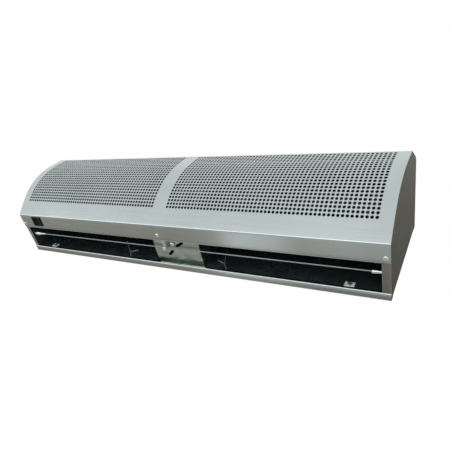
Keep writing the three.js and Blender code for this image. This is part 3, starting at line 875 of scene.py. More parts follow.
@dataclass
class Bench:
    """Puts finished pieces into the frame and counts them."""

    placed: int = 0

    @staticmethod
    def soften(piece: bpy.types.Object, bevel: float) -> None:
        """Shade a piece smooth between its edges, and break these edges by a bevel in millimetres."""
        piece.data.shade_smooth()
        piece.data.set_sharp_from_angle(angle=SHARP_ANGLE)
        if bevel > 0:
            edge = piece.modifiers.new("broken_edges", "BEVEL")
            edge.width = bevel * MM
            edge.segments = 2
            edge.limit_method = "ANGLE"
            edge.angle_limit = SHARP_ANGLE
            edge.harden_normals = True

    def place(
        self,
        name: str,
        mesh: bpy.types.Mesh,
        finish: Finish,
        replaces: Sequence[str],
        body: str = "unit",
        bevel: float = 0.0,
        lining: Finish | None = None,
        lined_from: int = 0,
    ) -> None:
        """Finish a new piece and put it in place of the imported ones.

        Args:
            name: The piece's name.
            mesh: Its mesh, in the frame.
            finish: Its finish.
            replaces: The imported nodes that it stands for.
            body: The body that it moves with.
            bevel: How much its edges are broken, in millimetres.
            lining: A second finish, for the faces from a number on.
            lined_from: That number.
        """
        mesh.materials.clear()
        mesh.materials.append(material_of(finish))
        if lining:
            mesh.materials.append(material_of(lining))
            for face in mesh.polygons[lined_from:]:
                face.material_index = 1
        piece = put_in_scene(name, mesh)
        self.soften(piece, bevel)
        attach(piece, body)
        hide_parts(*replaces)
        self.placed += 1
        LOG.info("%s: %d faces, %s", name, len(mesh.polygons), finish.name)

    def dress(self, node: str, finish: Finish, bevel: float = 0.2) -> None:
        """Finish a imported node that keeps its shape."""
        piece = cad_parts[node]
        piece.data.materials.clear()
        piece.data.materials.append(material_of(finish))
        self.soften(piece, bevel)
        self.placed += 1
        LOG.info("%s: kept, %s", node, finish.name)


# ---------------------------------------------------------------------------------------------
# Casing


@dataclass(frozen=True)
class CasingShape:
    """The casing seen from its end."""

    half_length: float = 450.0
    height: float = 234.0
    sheet: float = 1.2
    strip_rear: float = 73.5
    fold_depth: float = 110.0
    band_lean: float = math.radians(41)
    curve_radius: float = 185.0
    front_depth: float = 178.0
    upright_top: float = 186.5
    top_depth: float = 146.0
    hem: float = 12.0
    hem_half: float = 435.6
    recess: float = 2.5
    recess_low: float = 12.0
    recess_high: float = 222.0
    lip_front: float = 15.0
    lip_radius: float = 2.2
    lip_hem: float = 5.0
    inset: float = 1.5  # from the casing's outer face to the end pans

    @property
    def flat_band(self) -> float:
        """The flat part of the leaning band, along it."""
        rise = self.front_depth - self.fold_depth - self.curve_radius * (1 - math.cos(self.band_lean))
        return rise / math.sin(self.band_lean)

    @property
    def curve_top(self) -> float:
        """The height at which the round front ends."""
        return self.flat_band * math.cos(self.band_lean) + self.curve_radius * math.sin(self.band_lean)

    def front(self, distance: float) -> Station:
        """The place on the cover's outer face at a distance along it from the fold."""
        lean = self.band_lean
        if distance < self.flat_band:
            place = (-self.fold_depth - distance * math.sin(lean), distance * math.cos(lean))
            return Station(*place, -math.cos(lean), -math.sin(lean))
        lean -= (distance - self.flat_band) / self.curve_radius
        if lean > 0:
            centre = self.curve_radius - self.front_depth
            place = (
                centre - self.curve_radius * math.cos(lean),
                self.curve_top - self.curve_radius * math.sin(lean),
            )
            return Station(*place, -math.cos(lean), -math.sin(lean))
        return Station(-self.front_depth, self.curve_top - lean * self.curve_radius, -1.0, 0.0)

    def outline(self, inset: float, steps: int = 24) -> list[Pair]:
        """The closed outline of the unit, drawn in by an inset."""
        length = self.curve_radius * self.band_lean
        curve = [self.front(self.flat_band + length * k / steps) for k in range(steps + 1)]
        corners = [(0.0, 0.0), (-self.fold_depth, 0.0)]
        corners += [(place.y, place.h) for place in curve]
        corners += [
            (-self.front_depth, self.upright_top),
            (-self.top_depth, self.height),
            (0.0, self.height),
            (0.0, self.recess_high),
            (-self.recess, self.recess_high - self.recess),
            (-self.recess, self.recess_low + self.recess),
            (0.0, self.recess_low),
        ]
        drawn_in = []
        for i, corner in enumerate(corners):
            before, after = Vector(corners[i - 1]), Vector(corners[(i + 1) % len(corners)])
            first = (Vector(corner) - before).normalized()
            second = (after - Vector(corner)).normalized()
            inward = Vector((first.y + second.y, -first.x - second.x)) / (1 + first.dot(second))
            drawn_in.append(tuple(Vector(corner) + inward * inset))
        return drawn_in


SHAPE = CasingShape()


@dataclass
class FrontCover:
    """The perforated front cover, one bent sheet from the outlet to the top."""

    shape: CasingShape = SHAPE
    fold_radius: float = 3.2
    hem_radius: float = 1.8
    top_radius: float = 2.6
    pitch: float = 7.5
    hole_radius: float = 2.8
    rows: int = 22
    columns: int = 55  # on each side of the plain middle band
    first_row: float = 41.0
    first_column: float = 20.0
    screw_radius: float = 2.3
    end_screw: Pair = (442.5, 85.0)
    middle_screw: Pair = (-2.0, 87.0)
    screw_cell: float = 4.0  # half the width of the sheet's division around a screw
    switch_opening: Pair = (-403.5, -374.5)
    divisions: tuple[float, float, float] = (82.3, 90.0, 104.3)  # of the strip, from the wall

    @property
    def screws(self) -> dict[str, Pair]:
        """The (x, depth) places of its three screws."""
        x, depth = self.end_screw
        return {"left": (-x, depth), "centre": self.middle_screw, "right": (x, depth)}

    def stations(self) -> list[Station]:
        """The places that the outer face passes through, from the rear of the strip to the top."""
        shape = self.shape
        first = self.first_row - self.pitch / 2
        panel = [shape.front(first + row * self.pitch) for row in range(self.rows + 1)]
        lower = [
            Bend(-shape.strip_rear, shape.hem),
            Bend(-shape.strip_rear, 0.0, self.hem_radius),
            *(Bend(-depth, 0.0) for depth in self.divisions),
            Bend(-shape.fold_depth, 0.0, self.fold_radius),
            Bend(panel[0].y, panel[0].h),
        ]
        upper = [
            Bend(panel[-1].y, panel[-1].h),
            Bend(-shape.front_depth, shape.upright_top, self.top_radius),
            Bend(-shape.top_depth, shape.height, self.hem_radius),
            Bend(-shape.top_depth, shape.height - shape.hem),
        ]
        return bent_run(lower) + panel[1:-1] + bent_run(upper)

    def panel_row(self) -> Row:
        """One row of holes, the same distance from both of its stations."""
        edge = self.shape.half_length
        start = self.first_column - self.pitch / 2
        lines = [start + column * self.pitch for column in range(self.columns + 1)]
        centres = [self.first_column + column * self.pitch for column in range(self.columns)]
        xs = sorted([-edge, edge, *lines, *(-x for x in lines)])
        holes = [Hole(side * x, self.pitch / 2, self.hole_radius) for side in (-1, 1) for x in centres]
        return Row(tuple(xs), holes=tuple(holes))

    def strip_rows(self) -> list[Row]:
        """The four rows of the flat strip, with the screw holes and the switch's opening."""
        edge = self.shape.half_length
        start, end = self.switch_opening
        screws = self.screws.values()
        cells = [x + side * self.screw_cell for x, _ in screws for side in (-1, 1)]
        holes = [Hole(x, depth - self.divisions[0], self.screw_radius) for x, depth in screws]
        plain = Row((-edge, edge))
        with_screws = Row(tuple(sorted([-edge, edge, start, end, *cells])), (start,), tuple(holes))
        return [plain, with_screws, Row((-edge, start, end, edge), (start,)), plain]

    def build(self, bench: Bench) -> None:
        """Build the cover and put it in place."""
        edge, hem_half = self.shape.half_length, self.shape.hem_half
        plain, hem = Row((-edge, edge)), Row((-hem_half, hem_half))
        rows = [hem] * (1 + BEND_STEPS) + self.strip_rows() + [plain] * (BEND_STEPS + 1)
        rows += [self.panel_row()] * self.rows
        rows += [plain] * (BEND_STEPS + 2) + [hem] * (BEND_STEPS + 1)
        sheet = PunchedSheet(self.stations(), rows, self.shape.sheet)
        mesh = sheet.form().mesh("cover_sheet", orient=False)
        # The inner face and the walls of the holes take the near black painted shade.
        bench.place(
            "cover_sheet",
            mesh,
            COVER_STEEL,
            ["front_cover"],
            lining=DAMPING_LACQUER,
            lined_from=sheet.outside,
        )


@dataclass
class RearCasing:
    """The sheet behind the cover: the top, the back with its recess, and the lip behind the outlet."""

    shape: CasingShape = SHAPE
    corner_radius: float = 2.0
    hook_xs: tuple[float, ...] = (-340.0, -200.0, 200.0, 340.0)
    slot_half: float = 14.0
    slot_heights: Pair = (171.0, 193.0)
    cable_x: float = -300.0
    cable_height: float = 62.0
    cable_radius: float = 11.0
    cable_cell: float = 14.0

    def stations(self) -> list[Station]:
        """The places that the outer face passes through, from the top's front edge round to the lip."""
        shape, radius = self.shape, self.corner_radius
        front = -shape.top_depth + shape.inset
        low, high = shape.recess_low, shape.recess_high
        cable_cell = (self.cable_height + self.cable_cell, self.cable_height - self.cable_cell)
        divisions = (*reversed(self.slot_heights), *cable_cell)
        return bent_run([
            Bend(front, shape.height - shape.hem),
            Bend(front, shape.height, radius),
            Bend(0.0, shape.height, radius),
            Bend(0.0, high, radius),
            Bend(-shape.recess, high - shape.recess, radius),
            *(Bend(-shape.recess, h) for h in divisions),
            Bend(-shape.recess, low + shape.recess, radius),
            Bend(0.0, low, radius),
            Bend(0.0, 0.0, radius),
            Bend(-shape.lip_front, 0.0, shape.lip_radius),
            Bend(-shape.lip_front, shape.lip_hem),
        ])

    def build(self, bench: Bench) -> None:
        """Build the casing and put it in place."""
        edge, hem_half = self.shape.half_length, self.shape.hem_half
        plain, hem = Row((-edge, edge)), Row((-hem_half, hem_half))
        sides = sorted(x + side * self.slot_half for x in self.hook_xs for side in (-1, 1))
        slots = Row((-edge, *sides, edge), tuple(sides[::2]))
        cell = [self.cable_x - self.cable_cell, self.cable_x + self.cable_cell]
        cable = Row((-edge, *cell, edge), holes=(Hole(self.cable_x, self.cable_cell, self.cable_radius, 32),))
        bend = [plain] * BEND_STEPS
        rows = [hem] * (1 + BEND_STEPS) + [plain] + bend + [plain] + bend + [plain] + bend
        rows += [plain, slots, plain, cable, plain]
        rows += bend + [plain] + bend + [plain] + bend + [plain] + bend + [hem]
        sheet = PunchedSheet(self.stations(), rows, self.shape.sheet)
        mesh = sheet.form().mesh("casing_sheet", orient=False)
        bench.place("casing_sheet", mesh, COVER_STEEL, ["rear_casing"])


@dataclass
class EndPan:
    """A pan that closes one end of the casing, with a flange turned in all round."""

    side: int
    word: str
    shape: CasingShape = SHAPE
    wall: float = 1.2
    flanges: Pair = (11.0, 14.0)  # how far they are turned in, at the left and at the right
    edge_radius: float = 0.5
    gap: float = 0.3
    notch_lap: float = 1.0  # how far the notch for the lip reaches behind the lip's round corner
    bore: Pair = (-2.0, 8.0)  # the heights between which the screw's hole is cut

    def build(self, bench: Bench) -> None:
        """Build the pan, cut its notch and its screw hole, and put it in place."""
        shape, side = self.shape, self.side
        outer, inner = shape.outline(shape.inset), shape.outline(shape.inset + self.wall)
        flange = self.flanges[0] if side < 0 else self.flanges[1]
        face, edge = shape.half_length, shape.half_length - flange
        # From the inner face out to the flange's edge, over it and back to the outer face.
        places = [(inner, face - self.wall), (inner, edge), (outer, edge), (outer, face)]
        pan = Form().loft([[(side * x, y, h) for y, h in outline] for outline, x in places])
        notch_rear = shape.lip_front - shape.lip_radius - self.notch_lap
        notch = Form().box(
            (side * (edge - OVERCUT), -shape.lip_front - self.gap, -OVERCUT),
            (side * (face + OVERCUT), -notch_rear, shape.lip_radius + self.gap),
        )
        screw_x, screw_depth = FrontCover.end_screw
        radius, (low, high) = FrontCover.screw_radius, self.bore
        profile = [(0, low), (radius, low), (radius, high), (0, high)]
        drill = Form().turned(profile, (side * screw_x, -screw_depth, 0), Axis.Z, 16)
        name = f"end_pan_{self.word}"
        mesh = combined(pan.mesh(name), [notch.mesh("notch"), drill.mesh("drill")], "DIFFERENCE")
        # The pan takes the darker tone that is painted shade.
        bench.place(name, mesh, END_STEEL, [f"end_cap_{self.word}"], bevel=self.edge_radius)


@dataclass
class PanScrew:
    """A pan head screw with a cross recess, driven up through the strip."""

    word: str
    x: float
    depth: float
    head: float = 4.0
    rim: float = 0.7
    height: float = 2.6
    fullness: float = 0.8  # the dome's shoulders are fuller than a ball's where this is under 1
    steps: int = 5
    shank: float = 2.0
    length: float = 9.0
    tip: float = 1.0
    recess: float = 2.3
    recess_half: float = 0.45  # half the width of the recess's arms
    recess_depth: float = 1.4
    gap: float = 0.3

    def build(self, bench: Bench) -> None:
        """Turn the screw, cut the recess and put it in place."""
        dome = []
        for step in range(self.steps + 1):
            angle = math.radians(90 * step / self.steps)
            radius = self.head * math.sin(angle) ** self.fullness
            dome.append((radius, -self.rim - (self.height - self.rim) * math.cos(angle)))
        shank = [(self.shank, 0), (self.shank, self.length - self.tip), (0, self.length)]
        name = f"pan_screw_{self.word}"
        profile = [*dome, (self.head, 0), *shank]
        screw = Form().turned(profile, (self.x, -self.depth, -self.gap), Axis.Z, 32)
        bottom = -self.height - self.gap
        cross = []
        for wide, thin in ((self.recess, self.recess_half), (self.recess_half, self.recess)):
            low = (self.x - wide, -self.depth - thin, bottom - OVERCUT)
            high = (self.x + wide, -self.depth + thin, bottom + self.recess_depth)
            cross.append(Form().box(low, high).mesh("cross"))
        mesh = combined(screw.mesh(name), cross, "DIFFERENCE")
        bench.place(name, mesh, BRIGHT_ZINC, [f"cover_screw_{self.word}"])


# ---------------------------------------------------------------------------------------------
# Outlet


@dataclass
class OutletTray:
    """The grey, silky tray that closes the outlet under the motor: its slots, its dart and its screw."""

    half: float = 58.7
    sheet: float = 1.2
    ridge: Pair = (-42.0, 12.0)
    front: Pair = (-75.1, 15.5)
    rear: Pair = (-4.6, 14.6)
    front_low: float = 3.0
    rear_high: float = 26.0
    flange_high: float = 24.0
    bend_radius: float = 1.6
    ridge_radius: float = 14.0
    slots: tuple[tuple[Pair, Pair], ...] = (((2.5, 31.0), (14.0, 41.0)), ((28.0, 54.0), (44.0, 62.5)))
    slot_radius: float = 3.1
    slot_steps: int = 8
    slot_heights: Pair = (5.0, 22.0)  # between which the drills for the slots reach
    dart_apex: Pair = (42.5, -42.5)  # where the creases of the pressed dart meet
    dart_feet: tuple[float, ...] = (7.5, 32.5, 37.0, 41.5)  # where they end, near the rear bend
    dart_end: float = -9.5
    crease_width: float = 3.4
    crease_depth: float = 0.85
    crease_start: float = 0.35  # the share of its width and depth that a crease has at the apex
    crease_under: float = 0.6  # how far a crease's cutter reaches below the sheet
    screw_head: tuple[Pair, ...] = (
        (0, -2.6), (2.6, -2.5), (4.4, -2.1), (5.6, -1.2), (6.0, -0.5), (6.0, 0.0), (0, 0),
    )

    def stations(self) -> list[Station]:
        """The places that the lower face passes through, from the rear flange's top forward and down."""
        return bent_run([
            Bend(self.rear[0], self.rear_high),
            Bend(*self.rear, self.bend_radius),
            Bend(*self.ridge, self.ridge_radius),
            Bend(*self.front, self.bend_radius),
            Bend(self.front[0], self.front_low),
        ])

    def flange(self, side: int) -> Form:
        """The flange that turns up at one end, with its lower edge within the sheet."""
        x = MOTOR_X + side * self.half
        (front_y, front_h), (ridge_y, ridge_h), (rear_y, rear_h) = self.front, self.ridge, self.rear
        outline = [
            (front_y - 0.6, self.flange_high),
            (front_y - 0.6, front_h - 1.2),
            (front_y + 1.6, front_h + 0.3),
            (ridge_y - 5.0, ridge_h + 1.0),
            (ridge_y + 5.0, ridge_h + 0.8),
            (rear_y - 1.7, rear_h + 0.5),
            (rear_y - 0.7, rear_h + 1.4),
            (rear_y - 0.7, self.flange_high),
        ]
        return Form().prism(outline, x - side * self.sheet, x)

    def slot(self, ends: tuple[Pair, Pair]) -> Form:
        """A drill for a slot with round ends between two (x, depth from the wall) points."""
        (xa, depth_a), (xb, depth_b) = ends
        way = math.atan2(depth_a - depth_b, xb - xa)
        rim = []
        for (x, depth), start in (((xa, depth_a), way + math.pi / 2), ((xb, depth_b), way - math.pi / 2)):
            for step in range(self.slot_steps + 1):
                angle = start + math.pi * step / self.slot_steps
                out_x, out_y = self.slot_radius * math.cos(angle), self.slot_radius * math.sin(angle)
                rim.append((x + out_x, -depth + out_y))
        return Form().loft([[(x, y, h) for x, y in rim] for h in self.slot_heights])

    def crease(self, foot: float) -> Form:
        """A cutter for one crease of the dart, from its apex to a foot."""
        (ridge_y, ridge_h), (rear_y, rear_h) = self.ridge, self.rear
        apex, end = Vector(self.dart_apex), Vector((foot, self.dart_end))
        way = (end - apex).normalized()
        across = Vector((-way.y, way.x))
        rings = []
        for place, share in ((apex, self.crease_start), (end, 1.0)):
            face = blend(ridge_h, rear_h, (place.y - ridge_y) / (rear_y - ridge_y))
            depth = self.crease_depth * share
            half = self.crease_width / 2 * share * (1 + self.crease_under / depth)
            low = [place - across * half, place + across * half]
            ring = [(side.x, side.y, face - self.crease_under) for side in low]
            ring.append((place.x, place.y, face + depth))
            rings.append(ring)
        return Form().loft(rings)

    def build(self, bench: Bench) -> None:
        """Build the tray and its screw and put them in place."""
        stations = self.stations()
        rows = [Row((MOTOR_X - self.half, MOTOR_X + self.half))] * (len(stations) - 1)
        sheet = PunchedSheet(stations, rows, self.sheet).form().mesh("outlet_tray", orient=False)
        flanges = [self.flange(side).mesh("flange") for side in (-1, 1)]
        drills = [self.slot(ends).mesh("drill") for ends in self.slots]
        drills += [self.crease(foot).mesh("crease") for foot in self.dart_feet]
        mesh = combined(combined(sheet, flanges, "UNION"), drills, "DIFFERENCE")
        bench.place("outlet_tray", mesh, TRAY_STEEL, ["centre_plate"])
        low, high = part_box("plate_screw")
        middle = (low + high) / 2 / MM
        top = high.z / MM + HALF_HEIGHT
        head = Form().turned(self.screw_head, (middle.x, middle.y, top), Axis.Z, 32).mesh("tray_screw")
        bench.place("tray_screw", head, BRIGHT_ZINC, ["plate_screw"])


@dataclass
class GuardRod:
    """The round bar along the outlet, its end sleeves, and the clip and nut at its middle."""

    depth: float = 51.5
    height: float = 8.0
    radius: float = 1.5
    half: float = 433.5
    chamfer: float = 0.6
    bore: float = 1.8
    sleeve_end: float = 435.6
    sleeve_rim: float = 0.4
    # The sleeves' outsides as (radius, distance from the unit's middle) points.
    left_sleeve: tuple[Pair, ...] = (
        (2.1, 392), (2.4, 400), (3.0, 408), (4.4, 415), (5.4, 420), (5.4, 424), (4.6, 429), (3.4, 435.6),
    )
    right_sleeve: tuple[Pair, ...] = (
        (2.4, 419.6), (3.5, 420.2), (3.8, 422), (3.7, 427), (3.0, 431), (2.5, 435.6),
    )
    clip_xs: Pair = (-2.0, 6.0)
    clip_sheet: float = 1.5
    clip_gap: float = 0.3
    clip_outer: tuple[Pair, ...] = ((-73.2, 13.6), (-73.2, 6.9), (-72.4, 5.8), (-71.1, 5.3), (-56.5, 5.3))
    clip_inner: tuple[Pair, ...] = ((-71.7, 13.6), (-71.7, 7.4), (-70.9, 6.8), (-56.5, 6.8))
    loop_start: float = 225.0  # in degrees, like the next one
    loop_turn: float = 300.0
    loop_steps: int = 16
    nut_x: float = 2.0
    nut_low: float = 0.3
    nut_height: float = 3.4
    nut_edge: tuple[Pair, ...] = ((2.0, 0.3), (2.4, 0.0), (3.9, 0.0), (4.6, 0.5))  # thread to corner

    def sleeve(self, side: int) -> Form:
        """The sleeve at one end: long and belled at the left, short and plain at the right."""
        outside = self.left_sleeve if side < 0 else self.right_sleeve
        profile = [(self.bore, outside[0][1] + self.sleeve_rim), *outside, (self.bore, self.sleeve_end)]
        turned = [(radius, side * along) for radius, along in profile]
        return Form().turned(turned, (0.0, -self.depth, self.height), Axis.X, 32)

    def clip(self) -> Form:
        """The strip of sheet that hangs from the cover's edge and goes round the rod."""
        loop = self.radius + self.clip_gap
        inner, outer = [], []
        for k in range(self.loop_steps + 1):
            angle = math.radians(self.loop_start + self.loop_turn * k / self.loop_steps)
            for line, radius in ((inner, loop), (outer, loop + self.clip_sheet)):
                line.append((radius * math.cos(angle) - self.depth, radius * math.sin(angle) + self.height))
        outline = [*self.clip_outer, *outer, *reversed(inner), *reversed(self.clip_inner)]
        return Form().prism(outline, *self.clip_xs)

    def nut(self) -> Form:
        """A hexagon nut with chamfered corners and a thread hole."""
        upper = [(radius, self.nut_height - along) for radius, along in reversed(self.nut_edge)]
        place = (self.nut_x, -self.depth, self.nut_low)
        return Form().turned([*self.nut_edge, *upper], place, Axis.Z, 6)

    def build(self, bench: Bench) -> None:
        """Build the rod and its fittings and put them in place."""
        tip, neck = self.radius - self.chamfer, self.chamfer - self.half
        profile = [(0, -self.half), (tip, -self.half), (self.radius, neck)]
        profile += [(radius, -along) for radius, along in reversed(profile)]
        rod = Form().turned(profile, (0, -self.depth, self.height), Axis.X, 24)
        bench.place("rod_bar", rod.mesh("rod_bar"), DRAWN_STEEL, ["guard_rod"])
        for word, side in SIDES:
            name = f"rod_sleeve_{word}"
            bench.place(name, self.sleeve(side).mesh(name), BRIGHT_ZINC, [f"rod_ferrule_{word}"])
        bench.place("rod_clip", self.clip().mesh("rod_clip"), BRIGHT_ZINC, ["rod_bracket"], bevel=0.2)
        bench.place("clip_nut", self.nut().mesh("clip_nut"), BRIGHT_ZINC, ["rod_nut"], bevel=0.15)


@dataclass(frozen=True)
class Stay:
    """A wire stay: the (x, h) place of its knot and the ends of its wires."""

    word: str
    knot: Pair
    tips: tuple[Pair, ...]


@dataclass
class GuideFittings:
    """The wire stays and the zinc clips on the faces of the rear guides."""

    face: float = 13.2
    gap: float = 0.3
    wire: float = 0.8
    stays: tuple[Stay, ...] = (
        Stay("left", (-129.0, 25.0), ((-171.0, 63.0), (-116.0, 11.0), (-113.0, 34.5))),
        Stay("right", (127.0, 25.5), ((108.0, 72.0), (139.0, 11.0), (108.0, 33.0))),
    )
    clip_x: float = 382.0
    clip_height: float = 12.0
    clip_half: float = 6.0
    clip_outline: tuple[Pair, ...] = (  # (along x, out from the guide)
        (-8.8, 0.0), (8.0, 0.0), (8.2, 2.2), (7.2, 2.4), (6.4, 1.8), (5.4, 1.5),
        (-5.2, 1.5), (-6.4, 1.9), (-7.2, 2.8), (-9.0, 2.6),
    )
    bolt_profile: tuple[Pair, ...] = (
        (0, -2.1), (3.8, -2.1), (3.8, -4.4), (3.2, -4.8), (2.4, -4.8), (2.0, -3.6), (0, -3.4),
    )

    def stay(self, stay: Stay) -> Form:
        """The wires of a stay, which meet in its knot."""
        depth = -self.face - self.gap - self.wire
        knot = Vector((stay.knot[0], depth, stay.knot[1]))
        form = Form()
        for x, h in stay.tips:
            tip = Vector((x, depth, h))
            path = [tuple(knot.lerp(tip, share)) for share in (0, 0.25, 0.5, 0.75, 1)]
            form.wire(path, self.wire)
        return form

    def clip(self, side: int) -> Form:
        """A foot with a low wing at each end, bent from a strip."""
        foot = self.face + self.gap
        x = side * self.clip_x
        ends = (self.clip_height - self.clip_half, self.clip_height + self.clip_half)
        return Form().loft([[(x + along, -foot - out, h) for along, out in self.clip_outline] for h in ends])

    def bolt(self, side: int) -> Form:
        """A round bolt head with a dished face."""
        place = (side * self.clip_x, -self.face, self.clip_height)
        return Form().turned(self.bolt_profile, place, Axis.Y, 24)

    def build(self, bench: Bench) -> None:
        """Build the stays, the clips and their bolts, and put them in place."""
        for stay in self.stays:
            name = f"wire_stay_{stay.word}"
            bench.place(name, self.stay(stay).mesh(name), DULL_WIRE, [f"duct_stay_{stay.word}"])
        for word, side in SIDES:
            # The clips are painted near white as painted light.
            name = f"guide_clip_{word}"
            bench.place(name, self.clip(side).mesh(name), PALE_ZINC, [f"duct_clip_{word}"], bevel=0.3)
            # The bolt heads are painted darker as painted shade.
            name = f"guide_bolt_{word}"
            bench.place(name, self.bolt(side).mesh(name), DULL_ZINC, [f"clip_bolt_{word}"])


@dataclass
class RockerSwitch:
    """The snap-in rocker switch in the strip."""

    x: float = -389.0
    depth: float = 93.3
    length: float = 33.0
    width: float = 24.4
    bezel: float = 1.6
    body_length: float = 28.4
    body_width: float = 21.4
    body_top: float = 21.0
    body_lap: float = 0.5  # how far the body reaches into the bezel
    blade_xs: Pair = (-6.0, 6.0)
    blade_half: Pair = (0.4, 3.0)  # half the thickness and half the width of a terminal
    blade_heights: Pair = (20.0, 29.0)
    well_half: float = 12.6
    well_width: float = 19.6
    well_heights: Pair = (-5.0, 7.0)
    pivot: float = 2.0
    radius: float = 12.3
    rocker_width: float = 19.0
    face: float = 5.4  # how far below the pivot the ends of the rocker's face are
    hollow: float = 2.0
    face_steps: int = 10
    round_end: tuple[float, ...] = (3.0, 0.0, -1.5)  # the depths of the points of a round end
    back: float = 3.5
    tilt: float = math.radians(10)
    gap: float = 0.3

    def block(self, length: float, width: float, low: float, high: float) -> bpy.types.Mesh:
        """A box about the switch's centre, between two heights."""
        corner = (self.x - length / 2, -self.depth - width / 2, low)
        return Form().box(corner, (self.x + length / 2, -self.depth + width / 2, high)).mesh("block")

    def case(self) -> bpy.types.Mesh:
        """The bezel, the body behind it and the two blade terminals, with the well for the rocker."""
        flange = self.block(self.length, self.width, -self.gap - self.bezel, -self.gap)
        body = self.block(self.body_length, self.body_width, -self.gap - self.body_lap, self.body_top)
        (thin, wide), (low, high) = self.blade_half, self.blade_heights
        blades = []
        for offset in self.blade_xs:
            blade = Form().box(
                (self.x + offset - thin, -self.depth - wide, low),
                (self.x + offset + thin, -self.depth + wide, high),
            )
            blades.append(blade.mesh("blade"))
        whole = combined(flange, [body, *blades], "UNION")
        well = self.block(2 * self.well_half, self.well_width, *self.well_heights)
        return combined(whole, [well], "DIFFERENCE")

    def reach(self, depth: float) -> float:
        """How far the rocker's round end is from its middle at a depth below the pivot."""
        return math.sqrt(self.radius ** 2 - depth ** 2) - self.gap

    def paddle(self) -> Form:
        """The rocker: round ends about its pivot and a hollow face between them."""
        face = []
        for k in range(self.face_steps + 1):
            along = 2 * k / self.face_steps - 1
            face.append((self.reach(self.face) * along, -self.face + self.hollow * (1 - along ** 2)))
        round_end = [(self.reach(depth), -depth) for depth in self.round_end]
        outline = face + round_end + [(0.0, self.back)] + [(-x, out) for x, out in reversed(round_end)]
        rings = []
        for y in (-self.rocker_width / 2, self.rocker_width / 2):
            ring = []
            for along, up in outline:
                x = along * math.cos(self.tilt) - up * math.sin(self.tilt)
                h = along * math.sin(self.tilt) + up * math.cos(self.tilt)
                ring.append((self.x + x, -self.depth + y, self.pivot + h))
            rings.append(ring)
        return Form().loft(rings)

    def build(self, bench: Bench) -> None:
        """Build the switch and put it in place."""
        bench.place("switch_case", self.case(), SWITCH_NYLON, ["switch_body"], bevel=0.4)
        mesh = self.paddle().mesh("switch_paddle")
        bench.place("switch_paddle", mesh, SWITCH_NYLON, ["switch_rocker"], body="rocker", bevel=0.4)


# ---------------------------------------------------------------------------------------------
# Fan and what else is inside


@dataclass
class BlowerWheel:
    """A drum of curved blades between a hub disc, a middle ring and an outer disc."""

    side: int
    word: str
    depth: float = 86.0
    height: float = 128.0
    blades: int = 36
    blade_inner: float = 41.5
    blade_outer: float = 49.8
    sweep: float = math.radians(11)
    thickness: float = 0.8
    rim: float = 50.5
    inner: float = 68.0  # from the motor's middle to the inner disc
    outer: float = 420.0  # from the unit's middle to the outer disc's face
    disc: float = 2.0
    ring_inner: float = 40.0
    steps: int = 4
    # The discs with their hubs, as (radius, way out from the motor) points.
    hub: tuple[Pair, ...] = (
        (4.3, -6), (12, -6), (12, 0), (50.5, 0), (50.5, 2), (14, 2), (12, 4), (12, 12), (4.3, 12),
    )
    cap: tuple[Pair, ...] = ((4.3, -16), (9, -16), (9, -4), (11, -2), (50.5, -2), (50.5, 0), (4.3, 0))

    def blade(self, angle: float, xa: float, xb: float) -> list[Ring]:
        """The rings of one curved blade between two places along the shaft."""
        outline = []
        for turn, order in ((0.0, 1), (self.thickness, -1)):
            edge = []
            for k in range(self.steps + 1):
                share = k / self.steps
                radius = blend(self.blade_inner, self.blade_outer, share)
                around = angle + self.sweep * share ** 2 + turn / radius
                edge.append((radius * math.cos(around) - self.depth, radius * math.sin(around) + self.height))
            outline += edge[::order]
        return [[(self.side * x, y, h) for y, h in outline] for x in (xa, xb)]

    def build(self, bench: Bench) -> None:
        """Build the wheel and put it in place."""
        start = self.inner + self.side * MOTOR_X
        middle = (start + self.outer) / 2
        half = self.disc / 2
        form = Form()
        ring = [(self.ring_inner, -half), (self.rim, -half), (self.rim, half), (self.ring_inner, half)]
        for profile, place in ((self.hub, start), (self.cap, self.outer), (ring, middle)):
            turned = [(radius, self.side * (place + along)) for radius, along in profile]
            form.turned(turned, (0, -self.depth, self.height), Axis.X, 48)
        spans = ((start + self.disc, middle - half), (middle + half, self.outer - self.disc))
        for k in range(self.blades):
            for xa, xb in spans:
                form.loft(self.blade(2 * math.pi * k / self.blades, xa, xb))
        name = f"blower_wheel_{self.word}"
        # The wheel's near black is painted shade.
        bench.place(name, form.mesh(name), WHEEL_PAINT, [f"fan_wheel_{self.word}"], body="fan")


@dataclass
class InnerPieces:
    """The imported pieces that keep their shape, with their finishes and broken edges."""

    paired: dict[str, tuple[Finish, float]] = field(default_factory=lambda: {
        # The black pieces take the paint's tone that is lifted as painted light.
        "rear_guide": (BLACK_PAINT, 0.2),
        "front_guide": (BLACK_PAINT, 0.2),
        "chamber_end": (BLACK_PAINT, 0.2),
        "bulkhead": (BLACK_PAINT, 0.2),
        "motor_shield": (CAST_ALUMINIUM, 0.5),
        "stator_winding": (ENAMELLED_COPPER, 0.6),
        "motor_bearing": (SINTERED_BRONZE, 0.3),
        "motor_ring": (MOULDED_RUBBER, 0.6),
        "end_shaft": (DRAWN_STEEL, 0.4),
        "end_bush": (SINTERED_BRONZE, 0.3),
        "bush_rubber": (MOULDED_RUBBER, 0.6),
        "motor_clamp": (GALVANISED, 0.3),
    })
    single: dict[str, tuple[Finish, float]] = field(default_factory=lambda: {
        "wall_plate": (GALVANISED, 0.4),
        "cable_grommet": (MOULDED_RUBBER, 0.4),
        "motor_stator": (VARNISHED_STACK, 0.4),
        "rotor_core": (VARNISHED_STACK, 0.4),
        "motor_shaft": (DRAWN_STEEL, 0.4),
        "motor_bracket": (GALVANISED, 0.3),
        "capacitor": (MOULDED_POLYPROPYLENE, 0.8),
        "terminal_block": (NATURAL_NYLON, 0.5),
    })

    def build(self, bench: Bench) -> None:
        """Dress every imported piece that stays."""
        for node, (finish, bevel) in self.single.items():
            bench.dress(node, finish, bevel)
        for node, (finish, bevel) in self.paired.items():
            for word, _ in SIDES:
                bench.dress(f"{node}_{word}", finish, bevel)


# ---------------------------------------------------------------------------------------------
# Studio


